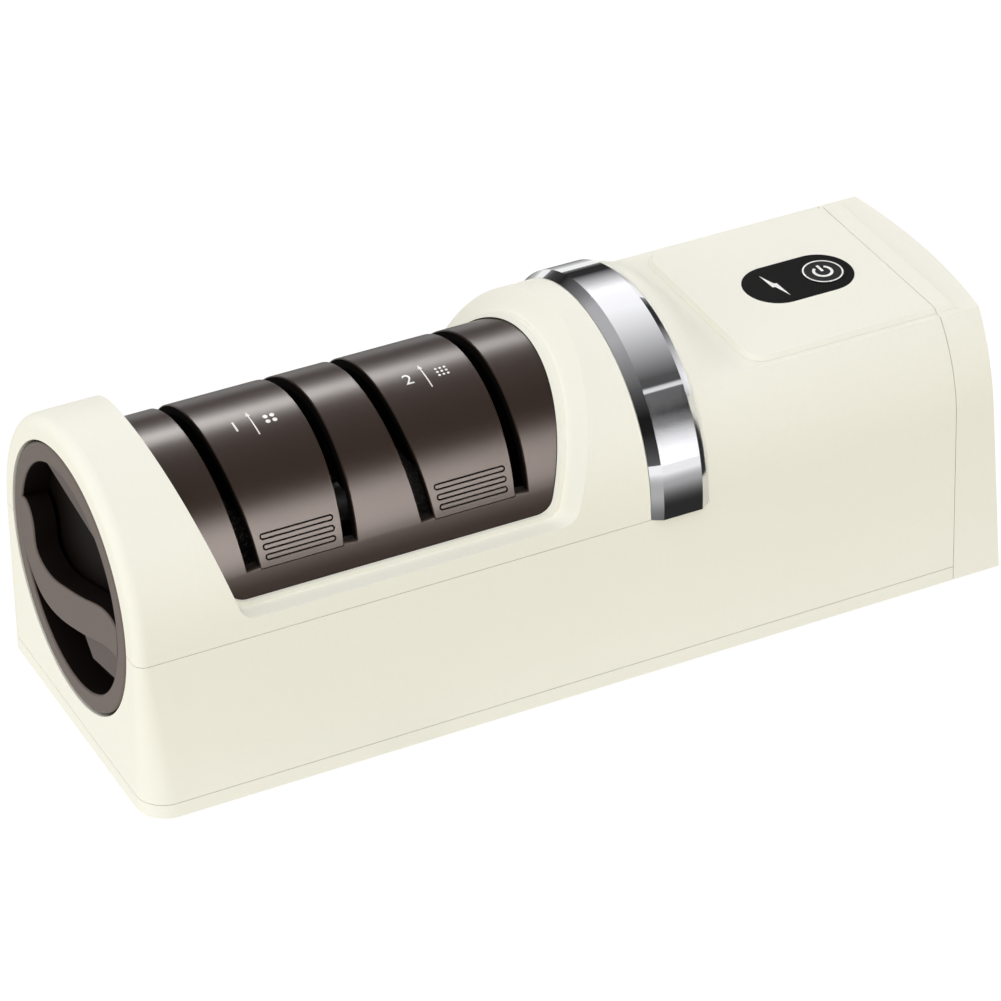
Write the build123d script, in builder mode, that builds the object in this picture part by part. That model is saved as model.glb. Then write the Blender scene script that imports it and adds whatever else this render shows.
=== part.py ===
"""Electric knife sharpener: a cordless body with a grinding drum that slides out of its end.

Frame: +X from the knob end to the rear cap, -Y to the side that faces the user, +Z up.
The origin is under the feet, midway along and across the body. Lengths are in millimetres.
"""

from build123d import *
from math import acos, asin, atan2, cos, hypot, radians, sin, sqrt, tan
import os

os.makedirs("parts", exist_ok=True)

# ---------------------------------------------------------------- driving dimensions
# Body
hood_length = 138.5  # knob face to the metal band
band_width = 16.0
rear_length = 85.5  # metal band to the rear end's corners, at the base
rear_bow = 5.6  # rear end's middle past its corners, at the base
base_width = 88.6  # across the base underside
arch_radius = 41.0  # outside of the arched top
axis_height = 45.0  # base underside to the drum axis
shell_wall = 2.5
end_wall = 4.0  # front wall round the knob
front_edge_radius = 3.0
front_corner_radius = 8.0  # plan radius of the front corners at the base
base_seam_height = 4.0
hood_seam_height = 44.0
rear_end_lean = 4.3  # degrees that the rear end leans forward
rear_edge_radius = 2.0
flat_top_rise = 27.3  # rear body's flat top, above the drum axis
ramp_length = 17.0  # fall from the arch to the flat top
ramp_gap = 1.5  # arch left between the band and the ramp
ramp_steps = 4
flat_top_bow = 0.05  # rise of the flat top at its middle
seam_gap = 0.2  # open line between two housing pieces
band_edge_radius = 0.8  # rounding of the rear body's and the hood's edge at the band
running_gap = 0.3  # between curved faces that slide or turn
fit_gap = 0.05  # between a piece and the seat that holds it

# Feet and base screws
foot_stand = 0.8  # how far the feet stand out of the base
foot_recess = 1.2
foot_radius = 6.0
foot_inset_x = 20.0  # foot centre to either end of the base plate
foot_inset_y = 14.0  # foot centre to the side of the base
base_screw_inset_x = 8.0
base_screw_inset_y = 5.8
base_screw_radius = 1.45
base_screw_head_radius = 3.0
base_screw_head_height = 1.6
base_screw_length = 11.0
base_screw_drive_radius = 0.9
base_screw_drive_depth = 0.75
boss_radius = 3.8
boss_height = 10.0

# Hood window and its sloping border, drawn in side view
window_top_front = 17.2  # from the knob face, at the crown
window_base_front = 28.3
window_base_rear = 24.9  # from the band
window_top_rear = 13.4
window_base_height = 50.3
window_corner_radius = 5.0
border_slope = 0.45  # run of the sloping rear border for each unit of its rise
rim_margin = 3.5  # window's thick rim, past its edge
rim_margin_rear = 7.0
lip_width = 1.2  # step of the border round the drum
lip_height = 1.1

# Metal band
band_bevel_front = 2.8
band_bevel_rear = 2.3
band_rise = 1.5  # flat of the band above the arch
band_seat_depth = 1.0  # band's edges below the arch

# Rear cap, control deck and control window
cap_length = 13.5  # rear end, at the base, to the cap's seam
cap_lip_length = 4.0
cap_lip_thickness = 1.5
deck_rear_inset = 7.2  # deck's rear edge to the rear end
deck_width = 57.6
deck_rise = 1.2
deck_corner_radius = 5.5
deck_edge_slope = 1.0
deck_opening_margin = 4.0
lens_length = 30.5
lens_width = 18.0
button_offset = 7.3  # behind the middle of the control window
button_radius = 5.5
button_travel = 0.6
button_stand = 0.2
button_flange_radius = 7.0
button_flange_thickness = 1.2
button_clearance = 0.1
light_offset = 7.0  # in front of the middle of the control window
light_length = 8.0
light_width = 3.0

# Control board
board_thickness = 1.6
board_margin = 1.75  # deck opening to the board, at either end
board_width = 42.0
board_drop = 4.7  # board's top face below the deck's underside
board_post_radius = 3.0
board_post_inset = 3.5
board_screw_radius = 1.2
board_screw_head_radius = 2.4
board_screw_head_height = 1.4
board_screw_bite = 3.0
switch_side = 6.0
switch_height = 2.0
plunger_radius = 1.5
plunger_bore_depth = 1.7
lamp_height = 0.8
chip_side = 7.0
regulator_length = 5.0
capacitor_radius = 3.0

# Battery
cell_radius = 9.2
cell_spacing = 19.6
cell_rear_gap = 7.5  # cells to the rear cap's seam
cell_front_gap = 0.5  # cells in front of the band's rear edge
holder_wall = 2.5
holder_floor = 1.5
holder_height = 12.0
contact_thickness = 0.5
contact_side = 8.0

# Charging socket
charge_board_length = 12.0
charge_board_width = 18.0
charge_board_thickness = 1.2
charge_board_height = 11.0
charge_post_width = 2.5
socket_width = 8.94
socket_height = 3.2
socket_length = 8.0
socket_clearance = 0.3
socket_setback = 0.5
socket_corner_radius = 1.28
socket_wall = 0.35
socket_depth = 6.0
tongue_width = 6.44
tongue_height = 0.7

# Motor
bracket_thickness = 3.0
bracket_hole_radius = 3.2
motor_radius = 18.0
motor_rear_gap = 28.0  # motor to the rear cap's seam
motor_wall = 1.2
motor_face = 2.0
bell_thickness = 2.5
magnet_thickness = 3.0
magnet_overhang = 2.0  # magnets past either end of the armature
magnet_span = 120.0
armature_radius = 12.5
armature_front = 9.0  # behind the can's front face
armature_slots = 5
armature_slot_depth = 4.4
armature_slot_width = 1.5
commutator_radius = 5.0
commutator_length = 8.0
commutator_rear_gap = 3.5
motor_shaft_radius = 1.6
shaft_running_gap = 0.05
brush_width = 3.0
motor_screw_radius = 1.45
motor_screw_head_radius = 2.6
motor_screw_head_height = 1.6
motor_screw_pitch_radius = 12.0

# Chamber that holds the drum
drum_radius = 34.5
liner_thickness = 2.0
liner_window_gap = 0.2  # liner to the window's rim
lock_ring_thickness = 3.0
lock_ring_end = 16.5  # from the knob face

# Knob and lock
knob_radius = 34.3
knob_depth = 10.0
knob_recess_radius = 29.3
knob_recess_depth = 7.5
knob_edge_radius = 1.2
knob_crest_radius = 0.4  # rounding of the grip's crest and the recess's rim
facet_rim_depth = 0.5
upper_facet_angle = 99.7  # middle of the facet, from +Y towards +Z
upper_facet_reach = 23.7  # axis to the facet's straight inner edge
upper_facet_slope = 20.0  # degrees
lower_facet_angle = -150.0
lower_facet_reach = 7.0
lower_facet_slope = 9.0
lower_facet_outline = [(-5.6, -12.3), (-11.0, -17.0), (-24.8, -14.2), (-32.0, -10.0), (-20.0, 0.0)]
grip_crest = [
    (29.6, 6.6),
    (25.5, 6.7),
    (22.3, 2.0),
    (21.0, -4.6),
    (15.9, -6.9),
    (4.9, -5.2),
    (-9.8, -0.1),
    (-18.9, 3.5),
    (-25.0, 4.4),
    (-29.6, 2.6),
]
grip_foot = [
    (29.6, -4.9),
    (25.7, -12.1),
    (19.9, -16.3),
    (10.0, -17.0),
    (-1.2, -14.1),
    (-14.0, -9.4),
    (-22.9, -6.1),
    (-29.6, -5.4),
]
cam_thickness = 2.0
cam_radius = 30.5
cam_turn = 60.0
cam_gap = 0.3
pivot_radius = 2.5
pivot_head_radius = 4.8
pivot_head_height = 1.8
pivot_bite = 1.8
pivot_land = 0.8  # front plate's metal between the bolts and the pivot's head
pivot_head_gap = 0.1
bolt_width = 8.0
bolt_thickness = 3.4
bolt_clearance = 0.2
bolt_inner = 21.8
bolt_outer = 34.0
bolt_travel = 2.4
bolt_stop_gap = 0.6
bolt_pin_radius = 1.5
bolt_pin_center = 25.0
bolt_pin_gap = 0.25

# Grinding drum
drum_wall = 2.5
drum_rear_gap = 10.5  # drum to the motor's bracket
front_plate_thickness = 11.7
rear_plate_thickness = 5.0
bearing_radius = 6.5
bearing_width = 5.0
slot_width = 3.5
slot_lean = 4.7  # degrees
slot_floor_angle = 20.0  # degrees above the horizontal where a slot ends
slot_centers = (32.9, 62.3, 79.4, 108.7)  # from the knob face, at the top of the drum
slot_lean_signs = (1, -1, 1, -1)  # 1 where the slot's foot leans to the rear
slot_edge_bevel = 0.25
guide_thickness = 1.2
tile_thickness = 0.9
tile_edge_angle = 19.0
rib_angles = (23.3, 27.5, 31.8)  # degrees above the horizontal, on the user's side
rib_width = 1.7
rib_inset = 3.6  # from the slots' middle lines
rib_groove_width = 0.45
rib_groove_depth = 0.4
tie_rod_radius = 2.0
tie_rod_pitch_radius = 27.0
tie_rod_angle = -20.0
magnet_bar_width = 12.0
magnet_bar_height = 2.5
magnet_bar_length = 60.0

# Spindle
spindle_radius = 3.0
wheel_radius = 20.0
wheel_thickness = 9.0
wheel_reach = 0.5  # how far a wheel's face reaches into its slot
contact_height = 15.0  # where the blade's edge meets a wheel, above the axis
guide_wheel_gap = 1.0
hub_radius = 8.0
spacer_radius = 5.0
spacer_end_gap = 0.2
dog_radius = 7.0
dog_thickness = 2.8
jaw_length = 3.0
jaw_width = 3.4
jaw_inner = 2.7
jaw_outer = 6.7
dog_gap = 0.7
jaw_end_gap = 0.4

# ---------------------------------------------------------------- places worked out from them
base_z = foot_stand
axis_z = base_z + axis_height
body_length = hood_length + band_width + rear_length + rear_bow
flat_top_height = axis_height + flat_top_rise
front_x = -body_length / 2
rear_x = body_length / 2
rear_corner_x = rear_x - rear_bow
base_seam_z = base_z + base_seam_height
hood_seam_z = base_z + hood_seam_height
flat_z = base_z + flat_top_height
deck_seat_z = flat_z + flat_top_bow
deck_top_z = flat_z + deck_rise
floor_z = base_z + shell_wall
band_front_x = front_x + hood_length
band_rear_x = band_front_x + band_width
cap_seam_x = rear_corner_x - cap_length
ramp_x = band_rear_x + ramp_gap
flat_x = ramp_x + ramp_length
half_width = base_width / 2
rear_radius = (half_width**2 + rear_bow**2) / (2 * rear_bow)
side_lean = atan2(-axis_height, half_width) + acos(arch_radius / hypot(half_width, axis_height))
inner_radius = arch_radius - shell_wall
lock_ring_end_x = front_x + lock_ring_end
chamber_radius = drum_radius + running_gap
axis_line = Axis((0, 0, axis_z), (1, 0, 0))
beyond = 60.0  # reach of a cut past the solid that it trims


# ---------------------------------------------------------------- shapes used more than once
def export(piece, name):
    """Label a finished piece and write it as its own STEP file."""
    piece.part.label = name
    export_step(piece.part, f"parts/{name}.step")


def section_face(station, inset, crown_z):
    """Make the body's cross-section at a station, set in by a distance, its top drawn down to crown_z."""
    radius = arch_radius - inset
    low = base_z + inset
    low_y = half_width - inset / cos(side_lean) - inset * tan(side_lean)
    touch_y = radius * cos(side_lean)
    touch_z = axis_z + radius * sin(side_lean)
    corner_z = flat_z - inset
    corner_y = sqrt(radius**2 - (corner_z - axis_z) ** 2)
    middle = (asin((corner_z - axis_z) / radius) + side_lean) / 2
    shoulder_y = radius * cos(middle)
    shoulder_z = axis_z + radius * sin(middle)
    with BuildSketch(Plane.YZ.offset(station)) as section:
        with BuildLine():
            Polyline((-touch_y, touch_z), (-low_y, low), (low_y, low), (touch_y, touch_z))
            ThreePointArc((touch_y, touch_z), (shoulder_y, shoulder_z), (corner_y, corner_z))
            ThreePointArc((corner_y, corner_z), (0, crown_z), (-corner_y, corner_z))
            ThreePointArc((-corner_y, corner_z), (-shoulder_y, shoulder_z), (-touch_y, touch_z))
        make_face()
    return section.sketch


def body_form(inset, start_x, end_x):
    """Make the body's solid form between two stations, set in by a distance on all sides."""
    crown = axis_z + arch_radius - inset
    flat = flat_z - inset + flat_top_bow
    ramp = []
    for step in range(ramp_steps + 1):
        share = step / ramp_steps
        fall = share**2 * (3 - 2 * share)
        ramp.append(section_face(ramp_x + share * ramp_length, inset, crown + (flat - crown) * fall))
    with BuildPart() as form:
        extrude(section_face(start_x, inset, crown), amount=ramp_x - start_x)
        loft(sections=ramp)
        add(flat_form(inset, flat_x, end_x))
    return form.part


def flat_form(inset, start_x, end_x):
    """Make the flat-topped rear form between two stations, set in by a distance."""
    section = section_face(start_x, inset, flat_z - inset + flat_top_bow)
    return extrude(section, amount=end_x - start_x, mode=Mode.PRIVATE)


def ring_form(inner, outer, start_x, end_x):
    """Make a tube about the drum axis."""
    with BuildPart() as ring:
        with BuildSketch(Plane.YZ.offset(start_x)):
            with Locations((0, axis_z)):
                Circle(outer)
                if inner > 0:
                    Circle(inner, mode=Mode.SUBTRACT)
        extrude(amount=end_x - start_x)
    return ring.part


def block_form(low, high):
    """Make a block between two corners."""
    size = [b - a for a, b in zip(low, high)]
    middle = [(a + b) / 2 for a, b in zip(low, high)]
    return Pos(*middle) * Box(*size, mode=Mode.PRIVATE)


def post_form(radius, places, low_z, high_z):
    """Make an upright round post at each place."""
    with BuildPart() as posts:
        with BuildSketch(Plane.XY.offset(low_z)):
            with Locations(*places):
                Circle(radius)
        extrude(amount=high_z - low_z)
    return posts.part


def window_prism(margin_front, margin_rear, margin_low):
    """Make the window's outline in side view, grown by margins and cut right across the body."""
    with BuildPart() as prism:
        with BuildSketch(Plane.XZ.offset(-beyond)):
            low_z = base_z + window_base_height - margin_low
            top_z = axis_z + arch_radius
            with BuildLine():
                Polyline(
                    (front_x + window_top_front - margin_front, top_z),
                    (front_x + window_base_front - margin_front, low_z),
                    (band_front_x - window_base_rear + margin_rear, low_z),
                    (band_front_x - window_top_rear + margin_rear, top_z),
                    close=True,
                )
            make_face()
            fillet(vertices().group_by(Axis.Y)[0], window_corner_radius)
        extrude(amount=2 * beyond)
    return prism.part


def slot_form(index, width, floor_height):
    """Make a knife slot's leaning cut, wide across the drum and open upwards."""
    lean = slot_lean * slot_lean_signs[index]
    top = Plane(origin=(front_x + slot_centers[index], 0, axis_z + drum_radius)).rotated((0, -lean, 0))
    depth = drum_radius - floor_height
    with BuildPart(top) as cut:
        with Locations((0, 0, -depth / 2 + drum_wall)):
            Box(width, 2 * beyond, depth + 2 * drum_wall)
    return cut.part


# ---------------------------------------------------------------- body envelope and its cavity
def rear_form(inset):
    """Make the leaning round form that bounds the bowed rear end, set in by a distance."""
    lean = radians(rear_end_lean)
    foot = (rear_x - rear_radius, 0, base_z)
    upright = Plane(origin=foot, x_dir=(0, 1, 0), z_dir=(-sin(lean), 0, cos(lean)))
    return upright.location * Cylinder(rear_radius - inset, 4 * beyond, mode=Mode.PRIVATE)


with BuildPart() as envelope:
    add(body_form(0, front_x, rear_x))
    add(rear_form(0), mode=Mode.INTERSECT)

with BuildPart() as cavity:
    add(body_form(shell_wall, front_x + end_wall, rear_x))
    add(rear_form(shell_wall), mode=Mode.INTERSECT)

# The lower body's front corners, round in plan and blending into the hood's edge at the seam.
with BuildPart() as corner_trim:
    with BuildSketch(Plane.XY.offset(base_z)):
        RectangleRounded(body_length, base_width, front_corner_radius)
    with BuildSketch(Plane.XY.offset(hood_seam_z)):
        seam_half_width = half_width - hood_seam_height * tan(side_lean)
        RectangleRounded(body_length, 2 * seam_half_width, front_edge_radius)
    loft()
    add(block_form((0, -beyond, 0), (body_length, beyond, hood_seam_z)))
    add(block_form((band_rear_x, -beyond, 0), (body_length, beyond, 2 * body_length)))

drum_bore = ring_form(0, chamber_radius, front_x - 1, band_front_x)

# ---------------------------------------------------------------- base plate, feet and screws
rim_inner_y = half_width - shell_wall - 4 * fit_gap
foot_places = [
    (x, y)
    for x in (front_x + foot_inset_x, cap_seam_x - foot_inset_x)
    for y in (half_width - foot_inset_y, foot_inset_y - half_width)
]
screw_places = [
    (x, y)
    for x in (front_x + base_screw_inset_x, 0, cap_seam_x - base_screw_inset_x)
    for y in (half_width - base_screw_inset_y, base_screw_inset_y - half_width)
]

with BuildPart() as base_plate:
    add(envelope.part)
    add(corner_trim.part, mode=Mode.INTERSECT)
    split(bisect_by=Plane.XY.offset(base_seam_z - seam_gap), keep=Keep.BOTTOM)
    split(bisect_by=Plane.YZ.offset(cap_seam_x), keep=Keep.BOTTOM)
    add(
        block_form(
            (front_x + end_wall + shell_wall, -rim_inner_y, floor_z),
            (rear_x, rim_inner_y, base_seam_z + 1),
        ),
        mode=Mode.SUBTRACT,
    )
    add(post_form(boss_radius, screw_places, floor_z, base_seam_z))
    add(post_form(foot_radius, foot_places, base_z - 1, base_z + foot_recess), mode=Mode.SUBTRACT)
    add(
        post_form(base_screw_head_radius, screw_places, base_z - 1, base_z + base_screw_head_height),
        mode=Mode.SUBTRACT,
    )
    add(post_form(base_screw_radius + fit_gap, screw_places, base_z, base_seam_z + 1), mode=Mode.SUBTRACT)
export(base_plate, "base_plate")

with BuildPart() as rubber_feet:
    add(post_form(foot_radius - fit_gap, foot_places, 0, base_z + foot_recess))
    fillet(edges().group_by(Axis.Z)[0], foot_stand / 2)
export(rubber_feet, "rubber_feet")

with BuildPart() as base_screws:
    head_low_z = base_z + fit_gap
    head_high_z = base_z + base_screw_head_height
    drive_floor_z = head_low_z + base_screw_drive_depth
    add(post_form(base_screw_head_radius - fit_gap, screw_places, head_low_z, head_high_z))
    add(post_form(base_screw_radius, screw_places, head_low_z, base_z + base_screw_length))
    add(post_form(base_screw_drive_radius, screw_places, base_z - 1, drive_floor_z), mode=Mode.SUBTRACT)
export(base_screws, "base_screws")

# ---------------------------------------------------------------- main housing and front hood
collar_radius = arch_radius - band_seat_depth - fit_gap
deck_front_x = flat_x
deck_half_width = deck_width / 2
deck_opening = block_form(
    (deck_front_x + deck_opening_margin, deck_opening_margin - deck_half_width, flat_z - 2 * shell_wall),
    (cap_seam_x - deck_opening_margin, deck_half_width - deck_opening_margin, flat_z + 2 * shell_wall),
)


def arch_edges(candidates, station):
    """Pick the edges that run over the arch at a station."""
    return candidates.filter_by(
        lambda edge: abs(edge.center().X - station) < fit_gap and edge.center().Z > hood_seam_z + 1
    )


above_seam = block_form((front_x - 1, -beyond, hood_seam_z), (rear_x, beyond, axis_z + beyond))

with BuildPart() as collar:
    add(ring_form(inner_radius - 1, collar_radius, band_front_x, band_rear_x))
    add(above_seam, mode=Mode.INTERSECT)

with BuildPart() as main_housing:
    add(envelope.part)
    add(corner_trim.part, mode=Mode.INTERSECT)
    split(bisect_by=Plane.XY.offset(base_seam_z), keep=Keep.TOP)
    split(bisect_by=Plane.YZ.offset(cap_seam_x), keep=Keep.BOTTOM)
    fillet(arch_edges(edges(), band_rear_x), band_edge_radius)
    add(collar.part)
    add(cavity.part, mode=Mode.SUBTRACT)
    add(drum_bore, mode=Mode.SUBTRACT)
    add(deck_opening, mode=Mode.SUBTRACT)
    add(post_form(boss_radius, screw_places, base_seam_z, base_seam_z + boss_height))
    add(
        post_form(base_screw_radius + fit_gap, screw_places, base_z, base_z + base_screw_length + 1),
        mode=Mode.SUBTRACT,
    )
export(main_housing, "main_housing")

# The window is cut in front of a cone about a tilted axis, so that its rear border slopes down to the drum.
window_tilt = atan2(window_base_rear - window_top_rear, axis_height + arch_radius - window_base_height)
border_x = band_front_x - window_base_rear - (window_base_height - axis_height) * tan(window_tilt)
border_side = Plane(
    origin=(border_x, 0, axis_z), x_dir=(cos(window_tilt), 0, -sin(window_tilt)), z_dir=(0, -1, 0)
)


def window_form(margin):
    """Make the cutter of the window, with its rear border and its sill moved out by a margin."""
    with BuildPart() as cutter:
        with BuildSketch(border_side):
            with BuildLine():
                Polyline(
                    (-2 * hood_length, 0),
                    (margin - border_slope * chamber_radius, 0),
                    (margin + border_slope * (2 * beyond - chamber_radius), 2 * beyond),
                    (-2 * hood_length, 2 * beyond),
                    close=True,
                )
            make_face()
        revolve(axis=Axis((border_x, 0, axis_z), border_side.x_dir))
        add(window_prism(0, hood_length, margin), mode=Mode.INTERSECT)
        core = drum_radius / sqrt(2)
        add(block_form((front_x, -core, 0), (band_front_x, core, axis_z + core)), mode=Mode.SUBTRACT)
        sill_edges = edges().group_by(Axis.Z)[0]
        fillet(sill_edges.filter_by(GeomType.LINE, reverse=True), window_corner_radius)
    return cutter.part


window = window_form(0)
# A lip one step lower than the border runs round the drum.
lip_room = window_form(lip_width) - Pos(0, 0, axis_z) * Rot(0, 90, 0) * Cylinder(
    chamber_radius + lip_height, 3 * hood_length
)

hood_rim = (
    ring_form(drum_radius, inner_radius + 1, lock_ring_end_x, band_front_x)
    & window_prism(rim_margin, rim_margin_rear, rim_margin)
)

with BuildPart() as front_hood:
    add(envelope.part)
    split(bisect_by=Plane.XY.offset(hood_seam_z + seam_gap), keep=Keep.TOP)
    split(bisect_by=Plane.YZ.offset(band_front_x), keep=Keep.BOTTOM)
    front_edges = edges().group_by(Axis.X)[0].filter_by(lambda edge: edge.center().Z > hood_seam_z + 1)
    fillet(front_edges, front_edge_radius)
    fillet(arch_edges(edges(), band_front_x), band_edge_radius / 2)
    add(cavity.part, mode=Mode.SUBTRACT)
    add(hood_rim)
    add(drum_bore, mode=Mode.SUBTRACT)
    add(window, mode=Mode.SUBTRACT)
    add(lip_room, mode=Mode.SUBTRACT)
export(front_hood, "front_hood")

# ---------------------------------------------------------------- metal band
with BuildPart() as chrome_band:
    with BuildSketch(Plane.XZ):
        with BuildLine():
            Polyline(
                (band_front_x, axis_z + arch_radius - band_seat_depth),
                (band_front_x, axis_z + arch_radius),
                (band_front_x + band_bevel_front, axis_z + arch_radius + band_rise),
                (band_rear_x - band_bevel_rear, axis_z + arch_radius + band_rise),
                (band_rear_x, axis_z + arch_radius),
                (band_rear_x, axis_z + arch_radius - band_seat_depth),
                close=True,
            )
        make_face()
    revolve(axis=axis_line)
    split(bisect_by=Plane.XY.offset(hood_seam_z), keep=Keep.TOP)
export(chrome_band, "chrome_band")

# ---------------------------------------------------------------- raised deck, shared by body and cap
def deck_plate(low_z):
    """Make the raised deck from a height up to its top, its front corners round and its edge sloping."""
    with BuildPart() as plate:
        with BuildSketch(Plane.XY.offset(low_z)):
            deck_middle_x = (deck_front_x + deck_rear_x) / 2
            with Locations((deck_middle_x, 0)):
                Rectangle(deck_rear_x - deck_front_x, deck_width)
            fillet(vertices().group_by(Axis.X)[0], deck_corner_radius)
        extrude(amount=deck_top_z - low_z)
        chamfer(faces().sort_by(Axis.Z)[-1].edges(), length=deck_edge_slope)
    return plate.part


# ---------------------------------------------------------------- rear cap
socket_z = base_z + charge_board_height + charge_board_thickness + socket_height / 2
socket_rear_x = rear_x - (socket_z - base_z) * tan(radians(rear_end_lean)) - socket_setback
deck_rear_x = rear_corner_x - deck_rear_inset
charge_front_x = socket_rear_x - socket_length - charge_board_length / 2
post_y = charge_board_width / 2 - charge_post_width

lip_inset = shell_wall + fit_gap
lip_front_x = cap_seam_x - cap_lip_length
cap_lip = flat_form(lip_inset, lip_front_x, cap_seam_x + shell_wall) - flat_form(
    lip_inset + cap_lip_thickness, lip_front_x - 1, cap_seam_x + 2 * shell_wall
)
cap_deck = deck_plate(flat_z - shell_wall / 2) & block_form(
    (cap_seam_x + seam_gap, -beyond, 0), (rear_x, beyond, axis_z + beyond)
)
charge_posts = [
    block_form(
        (cap_seam_x, low_y, base_z + shell_wall / 2),
        (charge_front_x + charge_board_length, low_y + charge_post_width, base_z + charge_board_height),
    )
    for low_y in (-post_y - charge_post_width, post_y)
]
socket_hole = block_form(
    (charge_front_x, -socket_width / 2 - socket_clearance, socket_z - socket_height / 2 - socket_clearance),
    (rear_x + 1, socket_width / 2 + socket_clearance, socket_z + socket_height / 2 + socket_clearance),
)

with BuildPart() as rear_cap:
    add(envelope.part)
    split(bisect_by=Plane.YZ.offset(cap_seam_x + seam_gap), keep=Keep.TOP)
    fillet(faces().sort_by(Axis.X)[-1].edges(), rear_edge_radius)
    add(cavity.part, mode=Mode.SUBTRACT)
    add(socket_hole, mode=Mode.SUBTRACT)
    add(cap_lip)
    add(charge_posts)
    add(cap_deck)
export(rear_cap, "rear_cap")

# ---------------------------------------------------------------- control deck on the flat top
lens_x = (deck_front_x + deck_rear_x) / 2
button_x = lens_x + button_offset
light_x = lens_x - light_offset
board_x = (deck_front_x + cap_seam_x) / 2
board_length = cap_seam_x - deck_front_x - 2 * (deck_opening_margin + board_margin)
deck_under_z = flat_z - shell_wall
board_top_z = deck_under_z - board_drop
board_under_z = board_top_z - board_thickness
board_post_places = [
    (board_x + side_x * (board_length / 2 - board_post_inset), side_y * (board_width / 2 - board_post_inset))
    for side_x in (-1, 1)
    for side_y in (-1, 1)
]
button_bore_radius = button_radius + button_clearance

with BuildPart() as control_deck:
    add(deck_plate(deck_seat_z))
    split(bisect_by=Plane.YZ.offset(cap_seam_x), keep=Keep.BOTTOM)
    plug_margin = deck_opening_margin + fit_gap
    add(
        block_form(
            (deck_front_x + plug_margin, plug_margin - deck_half_width, deck_under_z),
            (cap_seam_x - plug_margin, deck_half_width - plug_margin, deck_seat_z),
        )
    )
    with BuildSketch(Plane.XY.offset(deck_top_z)):
        with Locations((lens_x, 0)):
            SlotOverall(lens_length + 2 * fit_gap, lens_width + 2 * fit_gap)
    extrude(amount=-deck_rise, mode=Mode.SUBTRACT)
    with BuildSketch(Plane.XY.offset(deck_under_z)):
        with Locations((button_x, 0)):
            Circle(button_bore_radius)
        with Locations((light_x, 0)):
            SlotOverall(light_length + 2 * fit_gap, light_width + 2 * fit_gap)
    extrude(amount=2 * shell_wall, mode=Mode.SUBTRACT)
    add(post_form(board_post_radius, board_post_places, board_top_z, deck_under_z))
    add(
        post_form(
            board_screw_radius + fit_gap,
            board_post_places,
            board_top_z - 1,
            board_top_z + board_screw_bite + fit_gap,
        ),
        mode=Mode.SUBTRACT,
    )
export(control_deck, "control_deck")

with BuildPart() as control_lens:
    with BuildSketch(Plane.XY.offset(flat_z)):
        with Locations((lens_x, 0)):
            SlotOverall(lens_length, lens_width)
        with Locations((button_x, 0)):
            Circle(button_bore_radius, mode=Mode.SUBTRACT)
    extrude(amount=deck_rise)
export(control_lens, "control_lens")

flange_top_z = deck_under_z - running_gap
flange_low_z = flange_top_z - button_flange_thickness
with BuildPart() as power_button:
    add(post_form(button_flange_radius, [(button_x, 0)], flange_low_z, flange_top_z))
    add(post_form(button_radius, [(button_x, 0)], flange_top_z, deck_top_z + button_stand))
    fillet(edges().group_by(Axis.Z)[-1], button_stand)
export(power_button, "power_button")

switch_top_z = board_top_z + switch_height
plunger_low_z = switch_top_z - plunger_bore_depth + button_travel + button_clearance
with BuildPart() as switch_plunger:
    add(post_form(plunger_radius, [(button_x, 0)], plunger_low_z, flange_low_z))
export(switch_plunger, "switch_plunger")

with BuildPart() as tact_switch:
    with BuildSketch(Plane.XY.offset(board_top_z)):
        with Locations((button_x, 0)):
            Rectangle(switch_side, switch_side)
    extrude(amount=switch_height)
    add(
        post_form(
            plunger_radius + fit_gap,
            [(button_x, 0)],
            switch_top_z - plunger_bore_depth,
            switch_top_z + 1,
        ),
        mode=Mode.SUBTRACT,
    )
export(tact_switch, "tact_switch")

with BuildPart() as light_pipe:
    with BuildSketch(Plane.XY.offset(board_top_z + lamp_height)):
        with Locations((light_x, 0)):
            SlotOverall(light_length, light_width)
    extrude(amount=flat_z - board_top_z - lamp_height)
export(light_pipe, "light_pipe")

with BuildPart() as circuit_board:
    with BuildSketch(Plane.XY.offset(board_under_z)):
        with Locations((board_x, 0)):
            Rectangle(board_length, board_width)
        with Locations(*board_post_places):
            Circle(board_screw_radius + fit_gap, mode=Mode.SUBTRACT)
    extrude(amount=board_thickness)
export(circuit_board, "circuit_board")

with BuildPart() as board_components:
    with BuildSketch(Plane.XY.offset(board_top_z)):
        with Locations((light_x, 0)):
            Rectangle(light_width, light_width)
    extrude(amount=lamp_height)
    with BuildSketch(Plane.XY.offset(board_top_z)):
        with Locations((board_x - board_length / 4, board_width / 4)):
            Rectangle(chip_side, chip_side)
        with Locations((board_x, -board_width / 4)):
            Rectangle(regulator_length, chip_side)
        with Locations((board_x + board_length / 4, board_width / 4)):
            Circle(capacitor_radius)
    extrude(amount=switch_height)
export(board_components, "board_components")

with BuildPart() as board_screws:
    add(
        post_form(
            board_screw_head_radius,
            board_post_places,
            board_under_z - board_screw_head_height,
            board_under_z,
        )
    )
    add(post_form(board_screw_radius, board_post_places, board_under_z, board_top_z + board_screw_bite))
export(board_screws, "board_screws")

# ---------------------------------------------------------------- battery
cell_front_x = band_rear_x - cell_front_gap
cell_rear_x = cap_seam_x - cell_rear_gap
cell_length = cell_rear_x - cell_front_x
cell_z = floor_z + holder_floor + running_gap + cell_radius
cell_places = [(-cell_spacing / 2, cell_z), (cell_spacing / 2, cell_z)]
holder_half_width = cell_spacing / 2 + cell_radius + running_gap + holder_wall

with BuildPart() as battery_cells:
    with BuildSketch(Plane.YZ.offset(cell_front_x)):
        with Locations(*cell_places):
            Circle(cell_radius)
    extrude(amount=cell_length)
export(battery_cells, "battery_cells")

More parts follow.
